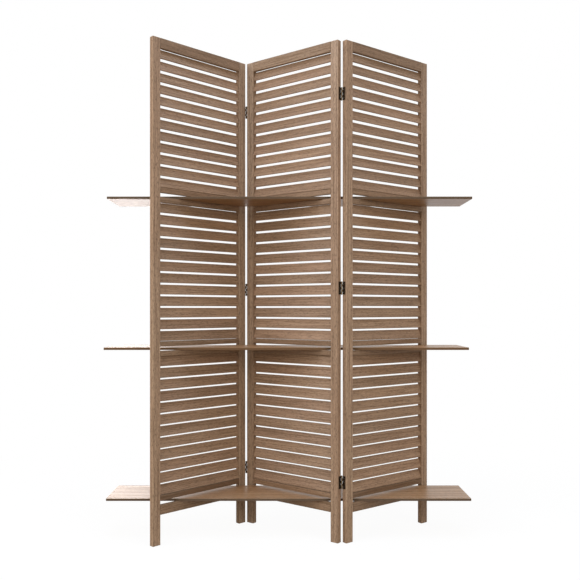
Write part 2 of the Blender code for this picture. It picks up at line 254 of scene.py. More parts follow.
@dataclass(frozen=True)
class Mark:
    """A mark of the grain, drawn with stretched noise.

    Attributes:
        run: Its length in millimetres.
        width: Its width in millimetres.
        detail: Detail of the noise.
        low: The noise's value where the mark starts.
        high: The noise's value where the mark is full.
    """

    run: float
    width: float
    detail: float
    low: float
    high: float

    def draw(
        self, tree: bpy.types.NodeTree, grain: bpy.types.NodeSocket
    ) -> bpy.types.NodeSocket:
        """Draw the mark along the grain.

        Args:
            tree: The material's tree.
            grain: The place in the log.

        Returns:
            Zero off the marks and one on them.
        """
        across = 1 / (self.width * MM)
        stretched = add_node(tree, "ShaderNodeMapping", {"vector_type": "POINT"}, {
            "Vector": grain, "Scale": (1 / (self.run * MM), across, across)})
        noise = add_node(tree, "ShaderNodeTexNoise", {"noise_dimensions": "3D"}, {
            "Vector": stretched.outputs["Vector"], "Scale": 1.0,
            "Detail": self.detail, "Roughness": 0.55})
        mark = add_node(tree, "ShaderNodeMapRange", SMOOTH, {
            "Value": noise.outputs["Fac"], "From Min": self.low,
            "From Max": self.high})
        return mark.outputs["Result"]


@dataclass(frozen=True)
class WashedWood(Finish):
    """Light paulownia, sawn and sanded, with a thin grey-brown wash.

    The wash leaves the growth rings and the open pores showing through, dries paler
    along the sanded edges, and gives little shine.  Lengths are in millimetres.

    Attributes:
        wash: Colour where the wash stands on the wood.
        body: Colour of most of the wood.
        streak: Colour of the dark lines of the grain.
        pore: Colour inside the pores and on sawn ends.
        blush: The rosier tint that some boards have.
        ring: Distance between growth rings.
        streak_width: Width of a grain line.
        streak_run: Length of a grain line.
        pore_width: Width of a pore.
        pore_run: Length of a pore.
        figure: How strongly the rings and lines show, from 0 to 1.
        long_edge_shade: Colour of the painted shade on the long edges' faces.
        painted_edge_shade: How strongly that painted shade shows, from 0 to 1.
        roughness: Lowest and highest roughness.
        sawn_roughness: Roughness of the long edges.
        rim: Colour of the edges, or the wash's where it is empty.
    """

    wash: str
    body: str
    streak: str
    pore: str
    blush: str
    # Paulownia grows fast, so its rings stand far apart
    ring: float = 9.0
    # Grain lines of half a millimetre don't show in the render, so these are coarser
    streak_width: float = 3.6
    streak_run: float = 160.0
    # Real pores are 0.2 mm wide; a mark here stands for a cluster of them
    pore_width: float = 2.4
    pore_run: float = 12.0
    figure: float = 0.5
    # Painted shade on the long edges' faces, which stays off unless a finish sets it
    long_edge_shade: str = "#6b543f"
    painted_edge_shade: float = 0.0
    roughness: tuple[float, float] = (0.52, 0.74)
    sawn_roughness: float = 0.85
    rim: str = ""

    # Metres between the places in the log of boards whose numbers differ by one
    LOG_STEP = (7.3, 0.61, 0.37)
    # Length and width in millimetres of the broad figure
    BROAD_FIGURE = (420.0, 26.0)
    # Where a board numbered 0 lies from the heart of the log, in metres
    LOG_HEART = (0.0, 0.055, 0.072)
    # The rings change ten times slower along the log than across it
    LOG_STRETCH = (0.10, 1.0, 1.0)
    # Distance between the rings of a Wave texture at a scale of one
    WAVE_RING = 2 * math.pi / 20
    # Part of a ring from where its dark late wood starts to where it is full
    LATE_WOOD = (0.45, 1.0)
    # Millimetres from an edge, an end and a long edge where its colour is full, and
    # where it is gone
    EDGE_REACH, END_REACH, FLANK_REACH = (0.2, 2.2), (0.1, 0.9), (0.15, 0.7)
    # Height in millimetres of the grain over the pores, as sanded open-pored wood has
    RELIEF = 0.15
    # How far each layer covers what is under it
    WASH_COVER, BLUSH_COVER, RING_COVER, STREAK_COVER = 0.85, 0.45, 0.62, 0.95
    PORE_COVER, EDGE_COVER, END_COVER = 0.75, 0.32, 0.42
    # Brightness of the darkest and of the lightest board
    DEPTH = (0.90, 1.12)
    # Stretches a board's number so that its fraction looks unlike the number
    SCATTER = 17.0

    @property
    def main_colour(self) -> str:
        """The wood's own colour."""
        return self.body

    def dress(self, tree: bpy.types.NodeTree, shader: bpy.types.Node) -> None:
        """Lay the grain, its colours and its relief on the shader.

        Args:
            tree: The material's tree.
            shader: Its shader.
        """
        grain, board = self.read_board(tree)
        figure, streaks, rings, pores = self.patterns(tree, grain)
        edge, end, flank = self.rims(tree)
        colour = self.tint(tree, board, figure, streaks, rings, pores, edge, end, flank)
        tree.links.new(colour, shader.inputs["Base Color"])
        rough = add_node(tree, "ShaderNodeMapRange", None, {
            "Value": streaks, "To Min": self.roughness[0], "To Max": self.roughness[1]})
        # The long edges are left as sawn
        sawn = add_node(tree, "ShaderNodeMath", {"operation": "MULTIPLY"}, {
            0: flank, 1: self.sawn_roughness})
        rougher = add_node(tree, "ShaderNodeMath", {"operation": "MAXIMUM"}, {
            0: rough.outputs["Result"], 1: sawn.outputs["Value"]})
        tree.links.new(rougher.outputs["Value"], shader.inputs["Roughness"])
        relief = add_node(tree, "ShaderNodeMath", {"operation": "MAXIMUM"}, {
            0: streaks, 1: pores})
        bump = add_node(tree, "ShaderNodeBump", {"invert": True}, {
            "Strength": 0.35, "Distance": self.RELIEF * MM,
            "Height": relief.outputs["Value"]})
        tree.links.new(bump.outputs["Normal"], shader.inputs["Normal"])

    def read_board(
        self, tree: bpy.types.NodeTree
    ) -> tuple[bpy.types.NodeSocket, bpy.types.NodeSocket]:
        """Read where a point lies in its board.

        Args:
            tree: The material's tree.

        Returns:
            The place in the log that the board was sawn from, and the board's number.
        """
        place = add_node(tree, "ShaderNodeAttribute", {"attribute_name": GRAIN})
        number = add_node(tree, "ShaderNodeAttribute", {"attribute_name": BOARD})
        # Each board comes from another part of the log
        sawn = add_node(tree, "ShaderNodeVectorMath", {"operation": "MULTIPLY_ADD"}, {
            0: number.outputs["Fac"], 1: self.LOG_STEP, 2: place.outputs["Vector"]})
        return sawn.outputs["Vector"], number.outputs["Fac"]

    def patterns(
        self, tree: bpy.types.NodeTree, grain: bpy.types.NodeSocket
    ) -> tuple[bpy.types.NodeSocket, ...]:
        """Draw the wood's patterns along its grain.

        Args:
            tree: The material's tree.
            grain: The place in the log.

        Returns:
            Broad figure, grain lines, growth rings and pores, each from 0 to 1.
        """
        figure, streaks, pores = (mark.draw(tree, grain) for mark in (
            Mark(*self.BROAD_FIGURE, detail=2.0, low=0.36, high=0.66),
            Mark(self.streak_run, self.streak_width, detail=3.0, low=0.46, high=0.62),
            Mark(self.pore_run, self.pore_width, detail=1.0, low=0.52, high=0.66)))
        # Rings round the heart of the log, which wander slowly along it
        log_place = add_node(tree, "ShaderNodeMapping", {"vector_type": "POINT"}, {
            "Vector": grain, "Location": self.LOG_HEART, "Scale": self.LOG_STRETCH})
        rings = add_node(tree, "ShaderNodeTexWave", {
            "wave_type": "RINGS", "rings_direction": "X", "wave_profile": "SAW"}, {
            "Vector": log_place.outputs["Vector"],
            "Scale": self.WAVE_RING / (self.ring * MM),
            "Distortion": 9.0, "Detail": 2.0, "Detail Scale": 6.0,
            "Detail Roughness": 0.5})
        start, full = self.LATE_WOOD
        late_wood = add_node(tree, "ShaderNodeMapRange", SMOOTH, {
            "Value": rings.outputs["Fac"], "From Min": start, "From Max": full})
        return figure, streaks, late_wood.outputs["Result"], pores

    def rims(self, tree: bpy.types.NodeTree) -> tuple[bpy.types.NodeSocket, ...]:
        """Find the sanded edges, the sawn ends and the long edges' faces of a board.

        Args:
            tree: The material's tree.

        Returns:
            One at an edge, on an end and on a long edge's face, falling to 0 off it.
        """
        place = add_node(tree, "ShaderNodeAttribute", {"attribute_name": GRAIN})
        half = add_node(tree, "ShaderNodeAttribute", {"attribute_name": HALF})
        reach = add_node(tree, "ShaderNodeVectorMath", {"operation": "ABSOLUTE"}, {
            0: place.outputs["Vector"]})
        left_over = add_node(tree, "ShaderNodeVectorMath", {"operation": "SUBTRACT"}, {
            0: half.outputs["Vector"], 1: reach.outputs["Vector"]})
        split = add_node(tree, "ShaderNodeSeparateXYZ", None, {
            0: left_over.outputs["Vector"]})
        # On a face one distance is nothing, so the middle one is that to the edge
        least = add_node(tree, "ShaderNodeMath", {"operation": "MINIMUM"}, {
            0: split.outputs["X"], 1: split.outputs["Y"]})
        most = add_node(tree, "ShaderNodeMath", {"operation": "MAXIMUM"}, {
            0: split.outputs["X"], 1: split.outputs["Y"]})
        inner = add_node(tree, "ShaderNodeMath", {"operation": "MINIMUM"}, {
            0: most.outputs["Value"], 1: split.outputs["Z"]})
        nearest = add_node(tree, "ShaderNodeMath", {"operation": "MAXIMUM"}, {
            0: least.outputs["Value"], 1: inner.outputs["Value"]})
        return tuple(
            add_node(tree, "ShaderNodeMapRange", SMOOTH, {
                "Value": distance, "From Min": full * MM, "From Max": gone * MM,
                "To Min": 1.0, "To Max": 0.0}).outputs["Result"]
            for distance, (full, gone) in (
                (nearest.outputs["Value"], self.EDGE_REACH),
                (split.outputs["X"], self.END_REACH),
                (split.outputs["Y"], self.FLANK_REACH)))

    def tint(
        self,
        tree: bpy.types.NodeTree,
        board: bpy.types.NodeSocket,
        figure: bpy.types.NodeSocket,
        streaks: bpy.types.NodeSocket,
        rings: bpy.types.NodeSocket,
        pores: bpy.types.NodeSocket,
        edge: bpy.types.NodeSocket,
        end: bpy.types.NodeSocket,
        flank: bpy.types.NodeSocket,
    ) -> bpy.types.NodeSocket:
        """Lay the wood's colours over each other.

        Args:
            tree: The material's tree.
            board: The board's number.
            figure: Broad figure.
            streaks: Grain lines.
            rings: Growth rings.
            pores: Pores.
            edge: The sanded edges.
            end: The sawn ends.
            flank: The long edges' faces.

        Returns:
            The colour.
        """
        # The scattered digits of a board's number pick its tint and its depth
        scatter = add_node(tree, "ShaderNodeMath", {"operation": "MULTIPLY"}, {
            0: board, 1: self.SCATTER})
        pick = add_node(tree, "ShaderNodeMath", {"operation": "FRACT"}, {
            0: scatter.outputs["Value"]})
        colour = linear(self.body)
        layers = (
            (figure, self.wash, self.WASH_COVER),
            (pick.outputs["Value"], self.blush, self.BLUSH_COVER),
            (rings, self.streak, self.RING_COVER * self.figure),
            (streaks, self.streak, self.STREAK_COVER * self.figure),
            (pores, self.pore, self.PORE_COVER * self.figure),
            (edge, self.rim or self.wash, self.EDGE_COVER),
            (end, self.pore, self.END_COVER),
            # Painted shade on the long edges' faces
            (flank, self.long_edge_shade, self.painted_edge_shade),
        )
        for mask, tone, strength in layers:
            amount = add_node(tree, "ShaderNodeMath", {"operation": "MULTIPLY"}, {
                0: mask, 1: strength})
            layer = add_node(tree, "ShaderNodeMix", {"data_type": "RGBA"}, {
                MIX_FACTOR: amount.outputs["Value"], MIX_FIRST: colour,
                MIX_SECOND: linear(tone)})
            colour = layer.outputs[MIX_RESULT]
        depth = add_node(tree, "ShaderNodeMapRange", None, {
            "Value": board, "To Min": self.DEPTH[0], "To Max": self.DEPTH[1]})
        shade = add_node(tree, "ShaderNodeHueSaturation", None, {
            "Color": colour, "Value": depth.outputs["Result"]})
        return shade.outputs["Color"]


@dataclass(frozen=True)
class BronzedSteel(Finish):
    """Stamped mild steel, plated and chemically darkened.

    The dark film is thin, so it is a metal with a soft shine, and it rubs brown where
    it is handled. The same brown paints a highlight on the barrels behind the right
    fold.  Lengths are in millimetres.

    Attributes:
        film: Colour of the dark film.
        rubbed_and_highlight: Colour where the film is thin, and of the painted highlight
            on the back barrels.
        patch: Size of a thin place in the film.
        roughness: Lowest and highest roughness.
    """

    film: str
    rubbed_and_highlight: str
    patch: float = 2.4
    roughness: tuple[float, float] = (0.42, 0.60)

    # The noise's values where the film starts to thin and where it is thinnest, and
    # how much of the rubbed colour shows there
    THIN_FROM, THIN_TO, THINNEST = 0.48, 0.72, 0.5
    # Height of the film's unevenness in millimetres
    RELIEF = 0.05

    @property
    def main_colour(self) -> str:
        """The film's colour."""
        return self.film

    def dress(self, tree: bpy.types.NodeTree, shader: bpy.types.Node) -> None:
        """Lay the film, its thin places, its rubbing and its painted highlight on the
        shader.

        Args:
            tree: The material's tree.
            shader: Its shader.
        """
        shader.inputs["Metallic"].default_value = 1.0
        place = add_node(tree, "ShaderNodeTexCoord")
        film = add_node(tree, "ShaderNodeTexNoise", {"noise_dimensions": "3D"}, {
            "Vector": place.outputs["Object"], "Scale": 1 / (self.patch * MM),
            "Detail": 3.0, "Roughness": 0.6})
        thin = add_node(tree, "ShaderNodeMapRange", SMOOTH, {
            "Value": film.outputs["Fac"], "From Min": self.THIN_FROM,
            "From Max": self.THIN_TO, "To Max": self.THINNEST})
        # Painted highlight on the back barrels, and a little rubbing on the front ones
        highlight_and_wear = add_node(tree, "ShaderNodeAttribute", {"attribute_name": PAINTED_HIGHLIGHT_AND_WEAR})
        bare_and_highlight = add_node(tree, "ShaderNodeMath", {
            "operation": "ADD", "use_clamp": True}, {
            0: thin.outputs["Result"], 1: highlight_and_wear.outputs["Fac"]})
        colour = add_node(tree, "ShaderNodeMix", {"data_type": "RGBA"}, {
            MIX_FACTOR: bare_and_highlight.outputs["Value"], MIX_FIRST: linear(self.film),
            MIX_SECOND: linear(self.rubbed_and_highlight)})
        tree.links.new(colour.outputs[MIX_RESULT], shader.inputs["Base Color"])
        rough = add_node(tree, "ShaderNodeMapRange", None, {
            "Value": film.outputs["Fac"], "To Min": self.roughness[1],
            "To Max": self.roughness[0]})
        tree.links.new(rough.outputs["Result"], shader.inputs["Roughness"])
        bump = add_node(tree, "ShaderNodeBump", None, {
            "Strength": 0.2, "Distance": self.RELIEF * MM,
            "Height": film.outputs["Fac"]})
        tree.links.new(bump.outputs["Normal"], shader.inputs["Normal"])


# The stiles are sawn from the palest boards
STILE_WOOD = WashedWood(
    "paulownia_stiles_washed_brown", wash="#b1997f", body="#a78b71", streak="#7c634d",
    pore="#5e4935", blush="#a6846d", streak_run=220.0, figure=0.82)
# The rails are darker, and so are their edges
RAIL_WOOD = WashedWood(
    "paulownia_rails_washed_brown", wash="#987e64", body="#8a6e54", streak="#6a523a",
    pore="#533d2a", blush="#8d6d54", figure=0.6, rim="#6a5a44")
# A copy of the rails' wood that is darkened with painted shade
SHADED_RAIL_WOOD = replace(
    RAIL_WOOD, name="paulownia_rails_painted_shade", wash="#7c6248", body="#6f543b",
    streak="#563e28", blush="#72543c")
# The slats are a little darker and warmer than the stiles, with finer lines
SLAT_WOOD = WashedWood(
    "paulownia_slats_washed_brown", wash="#a88b70", body="#9a7d62", streak="#775d46",
    pore="#5c4633", blush="#9d7a61", streak_width=3.0, figure=0.66)
# The loose boards are the warmest in colour and smoothed by rubbing; their long edges are
# darkened with painted shade
SHELF_WOOD = WashedWood(
    "paulownia_boards_washed_brown", wash="#b78f64", body="#a37a53", streak="#7d5836",
    pore="#604227", blush="#a77851", streak_run=260.0, streak_width=4.2, ring=12.0,
    long_edge_shade="#544638", painted_edge_shade=0.9, roughness=(0.34, 0.46))
LOWER_SHELF_WOOD = replace(
    SHELF_WOOD, name="paulownia_lower_board_washed_brown", wash="#bd9972",
    body="#aa8460", streak="#835f40", blush="#ae825e", figure=0.6)
# The middle board's long edges get their own painted shade
MIDDLE_SHELF_WOOD = replace(
    SHELF_WOOD, name="paulownia_middle_board_washed_brown", long_edge_shade="#63492f",
    painted_edge_shade=0.95)
LEAF_STEEL = BronzedSteel("bronzed_steel_leaves", film="#2b2018", rubbed_and_highlight="#8a7458")
PIN_STEEL = BronzedSteel("bronzed_steel_pins", film="#3d3026", rubbed_and_highlight="#7b664c")
SCREW_STEEL = BronzedSteel(
    "bronzed_steel_screws", film="#4d443b", rubbed_and_highlight="#85745f", patch=1.2)


def add_piece(
    name: str,
    mesh: bpy.types.Mesh,
    finish: Finish,
    body: str,
    nodes: Sequence[str] = (),
) -> bpy.types.Object:
    """Put a finished mesh in the scene, on its body.

    Args:
        name: The piece's name.
        mesh: Its mesh, with its place in it.
        finish: What it is made of.
        body: The body that it moves with.
        nodes: The solids that it stands for.

    Returns:
        The piece.
    """
    mesh.name = name
    mesh.materials.clear()
    mesh.materials.append(finish.material())
    piece = add_object(name, mesh)
    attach(piece, body)
    if nodes:
        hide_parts(*nodes)
    log.info("%s: %d faces on %s", name, len(mesh.polygons), body)
    return piece


@dataclass(frozen=True)
class Timber:
    """One sawn and sanded piece of wood, with rounded edges.

    Attributes:
        length: Along the grain.
        width: Across the grain.
        thickness: Through the board.
        round_over: Radius of its edges.
        steps: Facets in the rounding.
    """

    length: float
    width: float
    thickness: float
    round_over: float
    steps: int = 3

    def mesh(self, place: Matrix, number: float | None = None) -> bpy.types.Mesh:
        """Build the board, with its grain written on its points.

        Args:
            place: Turns the board's length, width and thickness to where they go.
            number: The board's number, or None where another step gives it.

        Returns:
            The mesh.
        """
        work = bmesh.new()
        half = Vector((self.length, self.width, self.thickness)) / 2
        bmesh.ops.create_cube(work, size=1, matrix=Matrix.Diagonal((*(half * 2), 1)))
        bmesh.ops.bevel(
            work, geom=work.edges[:], offset=self.round_over, segments=self.steps,
            profile=0.5, affect="EDGES", clamp_overlap=True)
        grain = work.verts.layers.float_vector.new(GRAIN)
        size = work.verts.layers.float_vector.new(HALF)
        for vert in work.verts:
            vert[grain] = vert.co
            vert[size] = half
        if number is not None:
            board = work.verts.layers.float.new(BOARD)
            for vert in work.verts:
                vert[board] = number
        work.transform(place)
        made = bpy.data.meshes.new("timber")
        work.to_mesh(made)
        work.free()
        return made


def axes(length: Vector, width: Vector, thickness: Vector, middle: Vector) -> Matrix:
    """Matrix that puts a board's three directions and its middle in place.

    Args:
        length: Where its length points.
        width: Where its width points.
        thickness: Where its thickness points.
        middle: Where its middle is.

    Returns:
        The matrix.
    """
    made = Matrix((length, width, thickness)).transposed().to_4x4()
    made.translation = middle
    return made


ALONG, THROUGH, UP = Vector((1, 0, 0)), Vector((0, 1, 0)), Vector((0, 0, 1))


@dataclass(frozen=True)
class Standing:
    """Where a panel stands: the corner at its left end and front, and its turn.

    Attributes:
        corner: The corner on the floor.
        turn: Degrees from the boards' direction.
    """

    corner: Vector
    turn: float

    @property
    def matrix(self) -> Matrix:
        """From the panel's own frame to the whole screen's."""
        turned = Matrix.Rotation(math.radians(self.turn), 4, "Z")
        return Matrix.Translation(self.corner) @ turned

    @staticmethod
    def direction(turn: float) -> tuple[Vector, Vector]:
        """Directions along and through a panel that is turned so many degrees."""
        angle = math.radians(turn)
        return (Vector((math.cos(angle), math.sin(angle), 0)),
                Vector((-math.sin(angle), math.cos(angle), 0)))


@dataclass(frozen=True)
class FloorPlan:
    """How the three panels stand round the two fold axes.

    Attributes:
        turns: Each panel's turn in degrees.
        panel_width: Width of a panel.
        panel_depth: Thickness of a panel.
        setback: Distance from a hinge axis to a panel's edge, along the panel.
        standoff: Distance from a hinge axis to a panel's face.
    """

    turns: Mapping[PanelName, float] = field(default_factory=lambda: {
        PanelName.LEFT: 43.2, PanelName.MIDDLE: -36.8, PanelName.RIGHT: 36.8})
    panel_width: float = 0.400
    panel_depth: float = 0.019
    setback: float = 0.003
    standoff: float = 0.0005

    def stand(self, panel: PanelName, axis_places: Mapping[str, Vector]) -> Standing:
        """Find where a panel stands.

        Args:
            panel: The panel.
            axis_places: The fold axes, by their joints' names.

        Returns:
            Its place.
        """
        left, right = axis_places["left_fold"], axis_places["right_fold"]
        # A fold's axis, and the corner's distance from it along and through the panel
        axis, reach, depth = {
            PanelName.LEFT: (left, -(self.panel_width + self.setback), self.standoff),
            PanelName.MIDDLE: (left, self.setback, self.standoff),
            PanelName.RIGHT: (right, self.setback, -(self.panel_depth + self.standoff)),
        }[panel]
        along, through = Standing.direction(self.turns[panel])
        corner = axis + reach * along + depth * through
        corner.z = 0
        return Standing(corner, self.turns[panel])


def realised(
    name: str,
    start: bpy.types.Mesh,
    tree: bpy.types.NodeTree,
    values: Mapping[str, object],
) -> bpy.types.Mesh:
    """Run a Geometry Nodes tree on a mesh and keep what it makes.

    Args:
        name: Name of the mesh that comes out.
        start: The mesh that goes in.
        tree: The tree.
        values: The tree's named inputs.

    Returns:
        A plain mesh.
    """
    holder = add_object(name, start)
    modifier = holder.modifiers.new(tree.name, "NODES")
    modifier.node_group = tree
    for item in tree.interface.items_tree:
        is_input = item.item_type == "SOCKET" and item.in_out == "INPUT"
        if is_input and item.name in values:
            modifier[item.identifier] = values[item.name]
    depsgraph = bpy.context.evaluated_depsgraph_get()
    made = bpy.data.meshes.new_from_object(
        holder.evaluated_get(depsgraph), preserve_all_data_layers=True,
        depsgraph=depsgraph)
    holder.modifiers.clear()
    bpy.data.objects.remove(holder)
    return made


def new_tree(name: str, sockets: Iterable[tuple[str, str]]) -> bpy.types.NodeTree:
    """Start a Geometry Nodes tree.

    Args:
        name: Its name.
        sockets: Its inputs after the geometry, each a name and a kind of socket.

    Returns:
        The tree, with its inputs and its output.
    """
    tree = bpy.data.node_groups.new(name, "GeometryNodeTree")
    geometry = ("Geometry", "NodeSocketGeometry")
    for label, kind in (geometry, *sockets):
        tree.interface.new_socket(label, in_out="INPUT", socket_type=kind)
    label, kind = geometry
    tree.interface.new_socket(label, in_out="OUTPUT", socket_type=kind)
    return tree


def slat_row_tree() -> bpy.types.NodeTree:
    """Build the tree that sets copies of one slat above each other.

    Returns:
        The tree.
    """
    tree = new_tree("row_of_slats", (
        ("Slats", "NodeSocketInt"), ("Pitch", "NodeSocketFloat"),
        ("Tilt", "NodeSocketFloat"), ("Play", "NodeSocketFloat"),
        ("Seed", "NodeSocketInt"), ("Wood", "NodeSocketMaterial")))
    given = add_node(tree, "NodeGroupInput").outputs
    step = add_node(tree, "ShaderNodeCombineXYZ", None, {"Z": given["Pitch"]})
    places = add_node(tree, "GeometryNodeMeshLine", {"mode": "OFFSET"}, {
        "Count": given["Slats"], "Offset": step.outputs["Vector"]})
    # Each slat sits a little differently in its groove
    play = add_node(tree, "FunctionNodeRandomValue", {"data_type": "FLOAT"}, {
        RANDOM_LOW: -1.0, RANDOM_HIGH: 1.0, "Seed": given["Seed"]})
    lean = add_node(tree, "ShaderNodeMath", {"operation": "MULTIPLY_ADD"}, {
        0: play.outputs[RANDOM_RESULT], 1: given["Play"], 2: given["Tilt"]})
    turn = add_node(tree, "ShaderNodeCombineXYZ", None, {"X": lean.outputs["Value"]})
    turned = add_node(tree, "FunctionNodeEulerToRotation", None, {
        "Euler": turn.outputs["Vector"]})
    slats = add_node(tree, "GeometryNodeInstanceOnPoints", None, {
        "Points": places.outputs["Mesh"], "Instance": given["Geometry"],
        "Rotation": turned.outputs["Rotation"]})
    pick = add_node(tree, "FunctionNodeRandomValue", {"data_type": "FLOAT"}, {
        RANDOM_LOW: 0.0, RANDOM_HIGH: 1.0, "Seed": given["Seed"]})
    numbered = add_node(tree, "GeometryNodeStoreNamedAttribute", {
        "data_type": "FLOAT", "domain": "INSTANCE"}, {
        "Geometry": slats.outputs["Instances"], "Name": BOARD,
        "Value": pick.outputs[RANDOM_RESULT]})
    solid = add_node(tree, "GeometryNodeRealizeInstances", None, {
        "Geometry": numbered.outputs["Geometry"]})
    dressed = add_node(tree, "GeometryNodeSetMaterial", None, {
        "Geometry": solid.outputs["Geometry"], "Material": given["Wood"]})
    add_node(tree, "NodeGroupOutput", None, {"Geometry": dressed.outputs["Geometry"]})
    return tree


def screw_tree() -> bpy.types.NodeTree:
    """Build the tree that sets a screw on each point, square to its leaf.

    Returns:
        The tree.
    """
    tree = new_tree("screws_in_leaves", (
        ("Screw", "NodeSocketObject"), ("Seed", "NodeSocketInt"),
        ("Steel", "NodeSocketMaterial")))
    given = add_node(tree, "NodeGroupInput").outputs
    screw = add_node(tree, "GeometryNodeObjectInfo", {"transform_space": "ORIGINAL"}, {
        "Object": given["Screw"]})
    facing = add_node(tree, "GeometryNodeInputNamedAttribute", {
        "data_type": "FLOAT_VECTOR"}, {"Name": FACING})
    square = add_node(tree, "FunctionNodeAlignRotationToVector", {"axis": "Z"}, {
        "Vector": facing.outputs["Attribute"]})
    # Each screw stopped turning where it went tight
    stop = add_node(tree, "FunctionNodeRandomValue", {"data_type": "FLOAT"}, {
        RANDOM_LOW: 0.0, RANDOM_HIGH: math.pi, "Seed": given["Seed"]})
    spin = add_node(tree, "ShaderNodeCombineXYZ", None, {
        "Z": stop.outputs[RANDOM_RESULT]})
    spun = add_node(tree, "FunctionNodeEulerToRotation", None, {
        "Euler": spin.outputs["Vector"]})
    tight = add_node(tree, "FunctionNodeRotateRotation", {"rotation_space": "LOCAL"}, {
        "Rotation": square.outputs["Rotation"], "Rotate By": spun.outputs["Rotation"]})
    set_in = add_node(tree, "GeometryNodeInstanceOnPoints", None, {
        "Points": given["Geometry"], "Instance": screw.outputs["Geometry"],
        "Rotation": tight.outputs["Rotation"]})
    solid = add_node(tree, "GeometryNodeRealizeInstances", None, {
        "Geometry": set_in.outputs["Instances"]})
    dressed = add_node(tree, "GeometryNodeSetMaterial", None, {
        "Geometry": solid.outputs["Geometry"], "Material": given["Steel"]})
    add_node(tree, "NodeGroupOutput", None, {"Geometry": dressed.outputs["Geometry"]})
    return tree


